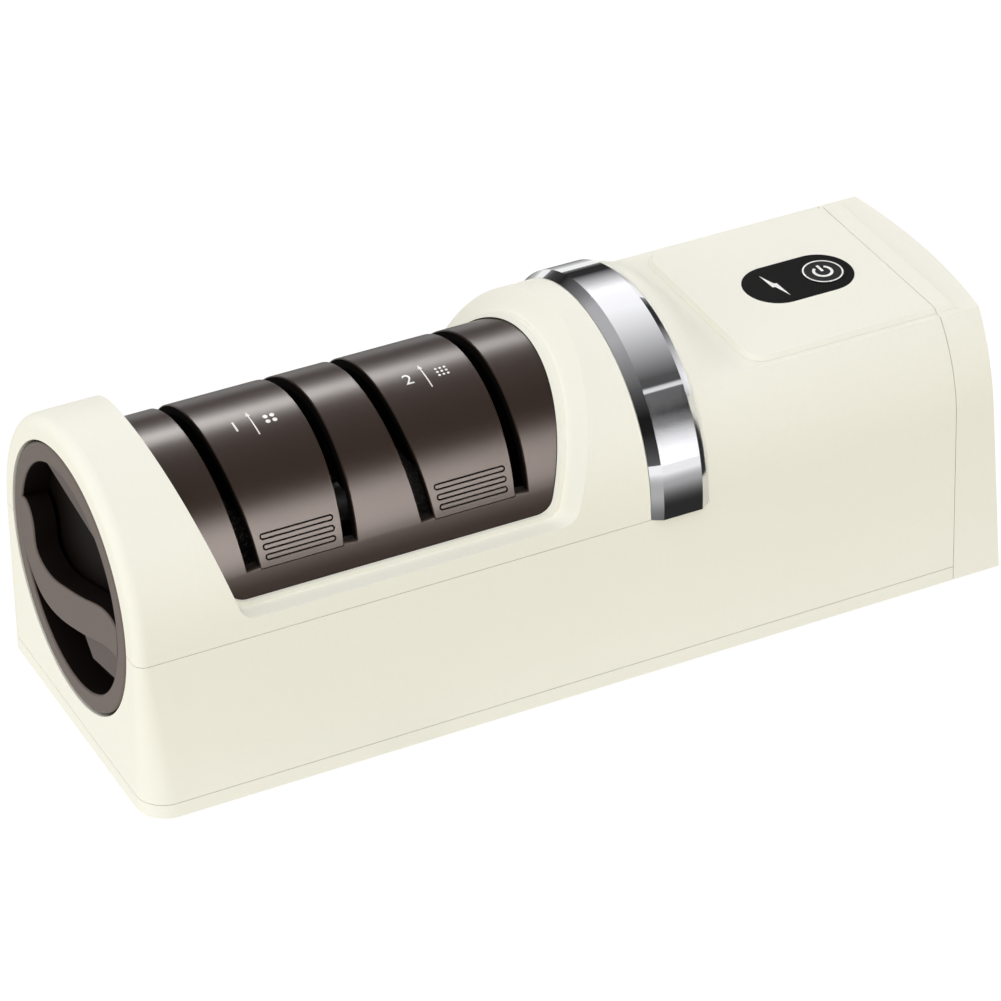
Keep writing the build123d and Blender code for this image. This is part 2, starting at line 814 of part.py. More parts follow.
with BuildPart() as battery_contacts:
    for contact_x in (cell_front_x - contact_thickness, cell_rear_x):
        with BuildSketch(Plane.YZ.offset(contact_x)):
            with Locations(*cell_places):
                Rectangle(contact_side, contact_side)
        extrude(amount=contact_thickness)
export(battery_contacts, "battery_contacts")

with BuildPart() as battery_holder:
    end_reach = contact_thickness + holder_wall
    add(
        block_form(
            (cell_front_x - end_reach, -holder_half_width, floor_z),
            (cell_rear_x + end_reach, holder_half_width, floor_z + holder_height),
        )
    )
    add(
        block_form(
            (cell_front_x - contact_thickness, holder_wall - holder_half_width, floor_z + holder_floor),
            (cell_rear_x + contact_thickness, holder_half_width - holder_wall, floor_z + 2 * holder_height),
        ),
        mode=Mode.SUBTRACT,
    )
export(battery_holder, "battery_holder")

# ---------------------------------------------------------------- charging socket
charge_board_z = base_z + charge_board_height
with BuildPart() as charge_board:
    add(
        block_form(
            (charge_front_x, -charge_board_width / 2, charge_board_z),
            (
                charge_front_x + charge_board_length,
                charge_board_width / 2,
                charge_board_z + charge_board_thickness,
            ),
        )
    )
export(charge_board, "charge_board")

socket_low_z = charge_board_z + charge_board_thickness
with BuildPart() as charging_socket:
    with BuildSketch(Plane.YZ.offset(socket_rear_x - socket_length)):
        with Locations((0, socket_z)):
            RectangleRounded(socket_width, socket_height, socket_corner_radius)
    extrude(amount=socket_length)
    with BuildSketch(Plane.YZ.offset(socket_rear_x)):
        with Locations((0, socket_z)):
            mouth_width = socket_width - 2 * socket_wall
            mouth_height = socket_height - 2 * socket_wall
            RectangleRounded(mouth_width, mouth_height, socket_corner_radius - socket_wall)
            Rectangle(tongue_width, tongue_height, mode=Mode.SUBTRACT)
    extrude(amount=-socket_depth, mode=Mode.SUBTRACT)
export(charging_socket, "charging_socket")

# ---------------------------------------------------------------- motor and its bracket
motor_front_x = band_front_x + bracket_thickness
motor_rear_x = cap_seam_x - motor_rear_gap
motor_length = motor_rear_x - motor_front_x
motor_screw_places = [(0, axis_z + motor_screw_pitch_radius), (0, axis_z - motor_screw_pitch_radius)]

with BuildPart() as motor_bracket:
    bracket_section = section_face(band_front_x, shell_wall + fit_gap, axis_z + inner_radius - fit_gap)
    extrude(bracket_section, amount=bracket_thickness)
    add(block_form((front_x, -beyond, 0), (rear_x, beyond, base_seam_z + fit_gap)), mode=Mode.SUBTRACT)
    with BuildSketch(Plane.YZ.offset(band_front_x)):
        with Locations((0, axis_z)):
            Circle(bracket_hole_radius)
        with Locations(*motor_screw_places):
            Circle(motor_screw_radius + fit_gap)
    extrude(amount=bracket_thickness, mode=Mode.SUBTRACT)
export(motor_bracket, "motor_bracket")

with BuildPart() as motor_can:
    add(ring_form(motor_radius - motor_wall, motor_radius, motor_front_x, motor_rear_x))
    can_hole_radius = motor_shaft_radius + shaft_running_gap
    add(ring_form(can_hole_radius, motor_radius, motor_front_x, motor_front_x + motor_face))
    with BuildSketch(Plane.YZ.offset(motor_front_x)):
        with Locations(*motor_screw_places):
            Circle(motor_screw_radius + fit_gap)
    extrude(amount=motor_face, mode=Mode.SUBTRACT)
export(motor_can, "motor_can")

bell_front_x = motor_rear_x - bell_thickness
with BuildPart() as motor_end_bell:
    add(
        ring_form(
            motor_shaft_radius + shaft_running_gap,
            motor_radius - motor_wall - fit_gap,
            bell_front_x,
            motor_rear_x,
        )
    )
export(motor_end_bell, "motor_end_bell")

armature_x = motor_front_x + armature_front
commutator_x = bell_front_x - commutator_rear_gap - commutator_length
armature_length = commutator_x - armature_x
magnet_front_x = armature_x - magnet_overhang
magnet_length = armature_length + 2 * magnet_overhang
magnet_outer = motor_radius - motor_wall - fit_gap
with BuildPart() as stator_magnets:
    for middle_angle in (0, 180):
        with BuildSketch(Plane.YZ.offset(magnet_front_x)):
            with Locations((0, axis_z)):
                Circle(magnet_outer)
                Circle(magnet_outer - magnet_thickness, mode=Mode.SUBTRACT)
            with BuildLine():
                wedge_y = 2 * motor_radius * cos(radians(middle_angle))
                wedge_z = 2 * motor_radius * tan(radians(magnet_span / 2))
                Polyline(
                    (0, axis_z),
                    (wedge_y, axis_z - wedge_z),
                    (wedge_y, axis_z + wedge_z),
                    close=True,
                )
            make_face(mode=Mode.INTERSECT)
        extrude(amount=magnet_length)
export(stator_magnets, "stator_magnets")

with BuildPart() as armature:
    add(ring_form(motor_shaft_radius, armature_radius, armature_x, armature_x + armature_length))
    with BuildSketch(Plane.YZ.offset(armature_x)):
        with Locations((0, axis_z)):
            with PolarLocations(armature_radius, armature_slots):
                Rectangle(2 * armature_slot_depth, armature_slot_width)
    extrude(amount=armature_length, mode=Mode.SUBTRACT)
export(armature, "armature")

with BuildPart() as commutator:
    add(ring_form(motor_shaft_radius, commutator_radius, commutator_x, commutator_x + commutator_length))
export(commutator, "commutator")

drum_rear_x = band_front_x - drum_rear_gap
spindle_end_x = drum_rear_x + dog_gap + dog_thickness
driver_disc_x = spindle_end_x + jaw_length + jaw_end_gap
with BuildPart() as motor_shaft:
    add(ring_form(0, motor_shaft_radius, driver_disc_x, motor_rear_x))
export(motor_shaft, "motor_shaft")

with BuildPart() as motor_brushes:
    for side in (-1, 1):
        with BuildSketch(Plane.YZ.offset(commutator_x + commutator_length / 2 - brush_width / 2)):
            with Locations((side * (commutator_radius + running_gap + brush_width), axis_z)):
                Rectangle(2 * brush_width, brush_width)
        extrude(amount=bell_front_x - commutator_x - commutator_length / 2 + brush_width / 2)
export(motor_brushes, "motor_brushes")

with BuildPart() as motor_screws:
    with BuildSketch(Plane.YZ.offset(band_front_x - motor_screw_head_height)):
        with Locations(*motor_screw_places):
            Circle(motor_screw_head_radius)
    extrude(amount=motor_screw_head_height)
    with BuildSketch(Plane.YZ.offset(band_front_x)):
        with Locations(*motor_screw_places):
            Circle(motor_screw_radius)
    extrude(amount=bracket_thickness + motor_face)
export(motor_screws, "motor_screws")


def jaw_pair(start_x, end_x, across_y):
    """Make a dog's two opposite jaws, across Y or across Z."""
    middle = (jaw_inner + jaw_outer) / 2
    reach = jaw_outer - jaw_inner
    with BuildPart() as jaws:
        with BuildSketch(Plane.YZ.offset(start_x)):
            if across_y:
                with Locations((middle, axis_z), (-middle, axis_z)):
                    Rectangle(reach, jaw_width)
            else:
                with Locations((0, axis_z + middle), (0, axis_z - middle)):
                    Rectangle(jaw_width, reach)
        extrude(amount=end_x - start_x)
    return jaws.part


with BuildPart() as drive_dog:
    add(ring_form(motor_shaft_radius, dog_radius, driver_disc_x, driver_disc_x + dog_thickness))
    add(jaw_pair(spindle_end_x + jaw_end_gap, driver_disc_x, True))
export(drive_dog, "drive_dog")

# ---------------------------------------------------------------- drum chamber
rim_gap = rim_margin + liner_window_gap
rim_room = window_prism(rim_gap, rim_margin_rear + liner_window_gap, rim_gap)
with BuildPart() as chamber_liner:
    add(ring_form(chamber_radius, chamber_radius + liner_thickness, lock_ring_end_x, band_front_x))
    add(rim_room, mode=Mode.SUBTRACT)
export(chamber_liner, "chamber_liner")

knob_rear_x = front_x + knob_depth
cam_rear_x = knob_rear_x + cam_thickness
plate_front_x = cam_rear_x + cam_gap
bolt_room = bolt_thickness + 2 * bolt_clearance
with BuildPart() as lock_ring:
    add(ring_form(chamber_radius, chamber_radius + lock_ring_thickness, front_x + end_wall, lock_ring_end_x))
    with BuildSketch(Plane.XY.offset(axis_z - arch_radius)):
        with Locations((plate_front_x + bolt_room / 2, 0)):
            Rectangle(bolt_room + 2 * bolt_clearance, bolt_width + 4 * bolt_clearance)
    extrude(amount=2 * arch_radius, mode=Mode.SUBTRACT)
export(lock_ring, "lock_ring")

# ---------------------------------------------------------------- knob, cam and pivot
cam_ratio = bolt_travel / cam_turn


def cam_point(turn):
    """Give the place of the cam slot's centre line that meets the pin at a turn of the knob."""
    reach = bolt_pin_center + cam_ratio * turn
    angle = radians(90 - turn)
    return reach * cos(angle), reach * sin(angle)


def facet_form(angle, reach, slope):
    """Make the cut for a facet that slopes down from the recess's rim to a straight inner edge."""
    outward = (0, cos(radians(angle)), sin(radians(angle)))
    side_plane = Plane(origin=(front_x, 0, axis_z), x_dir=outward, z_dir=(0, -outward[2], outward[1]))
    fall = (knob_recess_radius - reach) * tan(radians(slope))
    with BuildPart() as cut:
        with BuildSketch(side_plane):
            with BuildLine():
                Polyline(
                    (reach, -1),
                    (knob_recess_radius, -1),
                    (knob_recess_radius, facet_rim_depth),
                    (reach, facet_rim_depth + fall),
                    close=True,
                )
            make_face()
        extrude(amount=knob_recess_radius, both=True)
    return cut.part & ring_form(0, knob_recess_radius, front_x - 1, knob_rear_x)


def is_recess_rim(edge):
    """Tell whether an edge runs round the knob's recess, in its face."""
    place = edge @ 0.5
    reach = hypot(place.Y, place.Z - axis_z)
    return place.X < front_x + fit_gap and reach < knob_recess_radius + fit_gap


knob_face = Plane(origin=(front_x, 0, axis_z), x_dir=(0, 1, 0), z_dir=(1, 0, 0))
with BuildPart() as grip:
    with BuildSketch(knob_face):
        with BuildLine():
            crest = Spline(*grip_crest)
            foot = Spline(*grip_foot)
            Line(crest @ 0, foot @ 0)
            Line(crest @ 1, foot @ 1)
        make_face()
    extrude(amount=knob_depth - knob_recess_depth / 2)
    fillet(faces().sort_by(Axis.X)[0].edges().filter_by(GeomType.BSPLINE), knob_crest_radius)

with BuildPart() as lower_facet:
    with BuildSketch(knob_face):
        with BuildLine():
            Polyline(*lower_facet_outline, close=True)
        make_face()
    extrude(amount=knob_recess_depth)
    add(facet_form(lower_facet_angle, lower_facet_reach, lower_facet_slope), mode=Mode.SUBTRACT)

with BuildPart() as knob:
    add(ring_form(0, knob_radius, front_x, knob_rear_x))
    fillet(edges().filter_by(GeomType.CIRCLE).group_by(Axis.X)[0], knob_edge_radius)
    with BuildSketch(knob_face):
        Circle(knob_recess_radius)
        with PolarLocations(upper_facet_reach + beyond / 2, 1, start_angle=upper_facet_angle):
            Rectangle(beyond, 2 * beyond, mode=Mode.SUBTRACT)
    extrude(amount=knob_recess_depth, mode=Mode.SUBTRACT)
    add(facet_form(upper_facet_angle, upper_facet_reach, upper_facet_slope), mode=Mode.SUBTRACT)
    fillet(edges().filter_by(is_recess_rim), knob_crest_radius)
    add(lower_facet.part & ring_form(0, knob_recess_radius, front_x, knob_rear_x))
    add(grip.part & ring_form(0, knob_recess_radius, front_x, knob_rear_x))
    add(ring_form(0, pivot_radius, knob_rear_x - pivot_bite, knob_rear_x), mode=Mode.SUBTRACT)
export(knob, "knob")

with BuildPart() as lock_cam:
    with BuildSketch(Plane(origin=(knob_rear_x, 0, axis_z), x_dir=(0, 1, 0), z_dir=(1, 0, 0))):
        Circle(cam_radius)
        Circle(pivot_radius, mode=Mode.SUBTRACT)
        with BuildLine(mode=Mode.PRIVATE):
            track = ThreePointArc(cam_point(0), cam_point(cam_turn / 2), cam_point(cam_turn))
        with PolarLocations(0, 2):
            SlotArc(track, 2 * (bolt_pin_radius + bolt_pin_gap), mode=Mode.SUBTRACT)
    extrude(amount=cam_thickness)
export(lock_cam, "lock_cam")

pivot_rear_x = plate_front_x + bolt_room + pivot_land + pivot_head_height
with BuildPart() as knob_pivot:
    add(ring_form(0, pivot_radius, knob_rear_x - pivot_bite, pivot_rear_x))
    add(ring_form(0, pivot_head_radius, pivot_rear_x - pivot_head_height, pivot_rear_x))
export(knob_pivot, "knob_pivot")

bolt_front_x = plate_front_x + bolt_clearance
for name, side in (("lock_bolt_top", 1), ("lock_bolt_bottom", -1)):
    bolt_low_z, bolt_high_z = sorted((axis_z + side * bolt_inner, axis_z + side * bolt_outer))
    with BuildPart() as lock_bolt:
        add(
            block_form(
                (bolt_front_x, -bolt_width / 2, bolt_low_z),
                (bolt_front_x + bolt_thickness, bolt_width / 2, bolt_high_z),
            )
        )
        add(ring_form(0, drum_radius, bolt_front_x, bolt_front_x + bolt_thickness), mode=Mode.INTERSECT)
        with BuildSketch(Plane.YZ.offset(knob_rear_x + bolt_clearance)):
            with Locations((0, axis_z + side * bolt_pin_center)):
                Circle(bolt_pin_radius)
        extrude(amount=bolt_front_x - knob_rear_x)
    export(lock_bolt, name)

# ---------------------------------------------------------------- grinding drum
drum_inner = drum_radius - drum_wall
slot_floor = drum_radius * sin(radians(slot_floor_angle))
bolt_channel = block_form(
    (plate_front_x - 1, -bolt_width / 2 - bolt_clearance, axis_z - 2 * arch_radius),
    (plate_front_x + bolt_room, bolt_width / 2 + bolt_clearance, axis_z + 2 * arch_radius),
)


def slot_edge_x(index, height):
    """Give the station of a slot's edge nearer the middle of its stage, at a height above the axis."""
    lean = radians(slot_lean)
    reach = slot_width / 2 / cos(lean) + (drum_radius - height) * tan(lean)
    return front_x + slot_centers[index] + slot_lean_signs[index] * reach


def is_slot_rim(edge):
    """Tell whether an edge on the drum's face is a slot's foot or its side away from the stage's middle."""
    place = edge @ 0.5
    if hypot(place.Y, place.Z - axis_z) < drum_radius - fit_gap:
        return False
    for index, sign in enumerate(slot_lean_signs):
        into_slot = sign * (slot_edge_x(index, place.Z - axis_z) - place.X)
        if slot_width / 4 < into_slot < slot_width + slot_edge_bevel:
            return True
    return False


def tile_form(index, inner, outer):
    """Make the guide tile between a stage's two slots as an arc over the drum."""
    low = drum_radius * sin(radians(tile_edge_angle))
    with BuildPart() as tile:
        with BuildSketch(Plane.XZ.offset(-beyond)):
            with BuildLine():
                Polyline(
                    (slot_edge_x(2 * index, low), axis_z + low),
                    (slot_edge_x(2 * index + 1, low), axis_z + low),
                    (slot_edge_x(2 * index + 1, 2 * drum_radius), axis_z + 2 * drum_radius),
                    (slot_edge_x(2 * index, 2 * drum_radius), axis_z + 2 * drum_radius),
                    close=True,
                )
            make_face()
        extrude(amount=2 * beyond)
        add(ring_form(inner, outer, front_x, rear_x), mode=Mode.INTERSECT)
    return tile.part


def rib_outlines(index):
    """Make the grooves that draw each of a tile's finger ribs as a rounded bar."""
    middle_x = front_x + (slot_centers[2 * index] + slot_centers[2 * index + 1]) / 2
    with BuildPart() as grooves:
        for rib_angle in rib_angles:
            low_angle = radians(rib_angle)
            spread = (drum_radius - drum_radius * sin(low_angle)) * tan(radians(slot_lean))
            length = slot_centers[2 * index + 1] - slot_centers[2 * index] - 2 * (rib_inset + spread)
            outward = (0, -cos(low_angle), sin(low_angle))
            origin = (middle_x, drum_radius * outward[1], axis_z + drum_radius * outward[2])
            with BuildSketch(Plane(origin=origin, x_dir=(1, 0, 0), z_dir=outward)):
                SlotOverall(length, rib_width)
                SlotOverall(
                    length - 2 * rib_groove_width, rib_width - 2 * rib_groove_width, mode=Mode.SUBTRACT
                )
            extrude(amount=-rib_groove_depth)
    return grooves.part


with BuildPart() as drum_shell:
    add(ring_form(drum_inner, drum_radius, plate_front_x, drum_rear_x))
    for index in range(len(slot_centers)):
        add(slot_form(index, slot_width, slot_floor), mode=Mode.SUBTRACT)
    add(bolt_channel, mode=Mode.SUBTRACT)
    for index in range(2):
        seat = tile_form(index, drum_radius - tile_thickness - fit_gap, drum_radius + 1)
        add(seat, mode=Mode.SUBTRACT)
    chamfer(edges().filter_by(is_slot_rim), length=slot_edge_bevel)
export(drum_shell, "drum_shell")

for index, name in enumerate(("coarse_tile", "fine_tile")):
    with BuildPart() as tile:
        add(tile_form(index, drum_radius - tile_thickness, drum_radius))
        chamfer(faces().sort_by(lambda face: face.area)[-1].edges(), length=slot_edge_bevel)
        add(rib_outlines(index), mode=Mode.SUBTRACT)
    export(tile, name)

stage_faces = [
    slot_edge_x(index, contact_height) - sign * wheel_reach for index, sign in enumerate(slot_lean_signs)
]

with BuildPart() as drum_front_plate:
    plate_rear_x = plate_front_x + front_plate_thickness
    add(ring_form(0, drum_inner - fit_gap, plate_front_x, plate_rear_x))
    for side in (-1, 1):
        low = side * (bolt_inner - bolt_stop_gap)
        high = side * drum_radius
        add(
            block_form(
                (plate_front_x - 1, -bolt_width / 2 - bolt_clearance, axis_z + min(low, high)),
                (plate_front_x + bolt_room, bolt_width / 2 + bolt_clearance, axis_z + max(low, high)),
            ),
            mode=Mode.SUBTRACT,
        )
    add(ring_form(0, pivot_radius + shaft_running_gap, plate_front_x - 1, plate_rear_x), mode=Mode.SUBTRACT)
    pivot_seat_x = pivot_rear_x - pivot_head_height - pivot_head_gap
    add(ring_form(0, pivot_head_radius + running_gap, pivot_seat_x, plate_rear_x), mode=Mode.SUBTRACT)
    bearing_front_x = plate_rear_x - bearing_width
    add(ring_form(0, bearing_radius + fit_gap, bearing_front_x, plate_rear_x), mode=Mode.SUBTRACT)
export(drum_front_plate, "drum_front_plate")

rear_plate_x = drum_rear_x - rear_plate_thickness
with BuildPart() as drum_rear_plate:
    add(ring_form(bearing_radius + fit_gap, drum_inner - fit_gap, rear_plate_x, drum_rear_x))
export(drum_rear_plate, "drum_rear_plate")

with BuildPart() as spindle_bearings:
    bearing_bore = spindle_radius + shaft_running_gap
    for bearing_x in (bearing_front_x, drum_rear_x - bearing_width):
        add(ring_form(bearing_bore, bearing_radius, bearing_x, bearing_x + bearing_width))
export(spindle_bearings, "spindle_bearings")

with BuildPart() as blade_guides:
    for index in range(len(slot_centers)):
        guide_floor = wheel_radius + guide_wheel_gap
        walls = slot_form(index, slot_width + 2 * guide_thickness, guide_floor)
        opening = slot_form(index, slot_width, guide_floor - guide_wheel_gap)
        add((walls - opening) & ring_form(0, drum_inner - fit_gap, plate_rear_x, rear_plate_x))
export(blade_guides, "blade_guides")

rod_angle = radians(tie_rod_angle)
rod_places = [
    (side * tie_rod_pitch_radius * cos(rod_angle), axis_z + tie_rod_pitch_radius * sin(rod_angle))
    for side in (-1, 1)
]
with BuildPart() as tie_rods:
    with BuildSketch(Plane.YZ.offset(plate_rear_x)):
        with Locations(*rod_places):
            Circle(tie_rod_radius)
    extrude(amount=rear_plate_x - plate_rear_x)
export(tie_rods, "tie_rods")

with BuildPart() as swarf_magnet:
    magnet_low = sqrt((drum_inner - fit_gap) ** 2 - (magnet_bar_width / 2) ** 2)
    magnet_middle_x = (plate_rear_x + rear_plate_x) / 2
    add(
        block_form(
            (magnet_middle_x - magnet_bar_length / 2, -magnet_bar_width / 2, axis_z - magnet_low),
            (
                magnet_middle_x + magnet_bar_length / 2,
                magnet_bar_width / 2,
                axis_z - magnet_low + magnet_bar_height,
            ),
        )
    )
export(swarf_magnet, "swarf_magnet")

# ---------------------------------------------------------------- spindle and wheels
wheel_spans = []
for index, face_x in enumerate(stage_faces):
    sign = slot_lean_signs[index]
    back_x = face_x + sign * wheel_thickness
    wheel_spans.append((min(face_x, back_x), max(face_x, back_x)))

with BuildPart() as spindle_shaft:
    add(ring_form(0, spindle_radius, bearing_front_x + spacer_end_gap, spindle_end_x))
export(spindle_shaft, "spindle_shaft")

with BuildPart() as wheel_hubs:
    for low_x, high_x in wheel_spans:
        add(ring_form(spindle_radius, hub_radius, low_x, high_x))
export(wheel_hubs, "wheel_hubs")

for name, spans in (("coarse_wheels", wheel_spans[:2]), ("fine_wheels", wheel_spans[2:])):
    with BuildPart() as wheels:
        for low_x, high_x in spans:
            add(ring_form(hub_radius, wheel_radius, low_x, high_x))
    export(wheels, name)

spacer_stations = [plate_rear_x + spacer_end_gap]
for low_x, high_x in wheel_spans:
    spacer_stations += [low_x, high_x]
spacer_stations.append(rear_plate_x - spacer_end_gap)
with BuildPart() as spindle_spacers:
    for low_x, high_x in zip(spacer_stations[::2], spacer_stations[1::2]):
        add(ring_form(spindle_radius, spacer_radius, low_x, high_x))
export(spindle_spacers, "spindle_spacers")

with BuildPart() as spindle_dog:
    add(ring_form(spindle_radius, dog_radius, spindle_end_x - dog_thickness, spindle_end_x))
    add(jaw_pair(spindle_end_x, spindle_end_x + jaw_length, False))
export(spindle_dog, "spindle_dog")
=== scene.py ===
"""Electric knife sharpener: the finish of its shells, band, drum, knob, control window and works.

Lengths are in metres, in the frame of the CAD parts: +X from the knob to the rear cap, -Y to the
side that faces the user, +Z up, with the origin under the feet.
"""

import logging
import math
from dataclasses import dataclass, field, replace
from enum import Enum
from typing import Any, Callable, Sequence

import bpy
from mathutils import Matrix, Vector

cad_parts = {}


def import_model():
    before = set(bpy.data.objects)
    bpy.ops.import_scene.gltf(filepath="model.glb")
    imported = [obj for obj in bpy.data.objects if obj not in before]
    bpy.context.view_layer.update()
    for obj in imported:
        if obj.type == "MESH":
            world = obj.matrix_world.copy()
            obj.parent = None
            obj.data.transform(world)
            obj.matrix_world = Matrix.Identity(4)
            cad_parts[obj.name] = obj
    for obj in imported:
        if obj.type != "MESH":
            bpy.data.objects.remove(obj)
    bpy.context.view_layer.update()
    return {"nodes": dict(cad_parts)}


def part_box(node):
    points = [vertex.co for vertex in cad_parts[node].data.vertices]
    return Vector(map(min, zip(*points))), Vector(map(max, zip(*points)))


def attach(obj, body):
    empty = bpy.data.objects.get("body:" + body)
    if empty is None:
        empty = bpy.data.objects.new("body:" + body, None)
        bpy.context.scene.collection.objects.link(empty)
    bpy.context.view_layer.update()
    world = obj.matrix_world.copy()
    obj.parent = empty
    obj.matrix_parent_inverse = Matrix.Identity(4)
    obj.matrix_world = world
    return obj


log = logging.getLogger("knife_sharpener")

MM = 0.001

Colour = tuple[float, float, float, float]
WHITE: Colour = (1.0, 1.0, 1.0, 1.0)


class Body(Enum):
    """The moving bodies that carry printed marks."""

    HOUSING = "housing"
    DRUM = "drum"
    BUTTON = "power_button"


def srgb(red: int, green: int, blue: int) -> Colour:
    """Turn a colour in 0-255 screen values into the linear values that a shader takes.

    Args:
        red: Red, 0-255.
        green: Green, 0-255.
        blue: Blue, 0-255.

    Returns:
        The linear colour with an alpha of 1.
    """
    linear = []
    # The sRGB curve is straight up to its knee at 0.04045 and a power above it.
    for level in (red, green, blue):
        share = level / 255
        linear.append(share / 12.92 if share <= 0.04045 else ((share + 0.055) / 1.055) ** 2.4)
    return (linear[0], linear[1], linear[2], 1.0)


def shade(colour: Colour, factor: float) -> Colour:
    """Give a colour made lighter or darker by a factor."""
    return (colour[0] * factor, colour[1] * factor, colour[2] * factor, 1.0)


# ---------------------------------------------------------------- shader building


class Value:
    """A number socket of a node tree, on which arithmetic adds Math nodes."""

    def __init__(self, canvas: "Canvas", socket: bpy.types.NodeSocket) -> None:
        """Wrap a socket.

        Args:
            canvas: The canvas that holds the node tree.
            socket: The output socket to wrap.
        """
        self.canvas = canvas
        self.socket = socket

    def _math(self, operation: str, first: "Value | float", second: "Value | float") -> "Value":
        """Add a Math node on two values or numbers."""
        node = self.canvas.node("ShaderNodeMath", {"operation": operation}, {0: first, 1: second})
        return Value(self.canvas, node.outputs[0])

    def __add__(self, other: "Value | float") -> "Value":
        """Add."""
        return self._math("ADD", self, other)

    __radd__ = __add__

    def __sub__(self, other: "Value | float") -> "Value":
        """Subtract."""
        return self._math("SUBTRACT", self, other)

    def __rsub__(self, other: "Value | float") -> "Value":
        """Subtract from a number."""
        return self._math("SUBTRACT", other, self)

    def __mul__(self, other: "Value | float") -> "Value":
        """Multiply."""
        return self._math("MULTIPLY", self, other)

    __rmul__ = __mul__

    def __truediv__(self, other: "Value | float") -> "Value":
        """Divide."""
        return self._math("DIVIDE", self, other)

    def __gt__(self, other: "Value | float") -> "Value":
        """Give 1 where this is the greater, or else 0."""
        return self._math("GREATER_THAN", self, other)

    def ramp(self, low: float, high: float) -> "Value":
        """Rise smoothly from 0 to 1.

        Args:
            low: Where the rise starts.
            high: Where it ends.

        Returns:
            The rise, 0 below it and 1 above it.
        """
        node = self.canvas.node(
            "ShaderNodeMapRange",
            {"interpolation_type": "SMOOTHSTEP", "clamp": True},
            {"Value": self, "From Min": low, "From Max": high, "To Min": 0.0, "To Max": 1.0},
        )
        return Value(self.canvas, node.outputs["Result"])

    def wave(self) -> "Value":
        """Give the sine of this value."""
        return self._math("SINE", self, 0.0)

    def root(self) -> "Value":
        """Give the square root."""
        return self._math("SQRT", self, 0.0)

    def angle_over(self, other: "Value") -> "Value":
        """Give the angle whose tangent is this value over another, in radians."""
        return self._math("ARCTAN2", self, other)

    def peak(self, middle: float, half: float, soft: float) -> "Value":
        """Give 1 near a place, falling smoothly to 0 on both sides.

        Args:
            middle: The peak's place.
            half: Half the width of its flat top.
            soft: The width of each slope.

        Returns:
            The peak.
        """
        rise = self.ramp(middle - half - soft, middle - half)
        fall = self.ramp(middle + half, middle + half + soft)
        return rise - fall


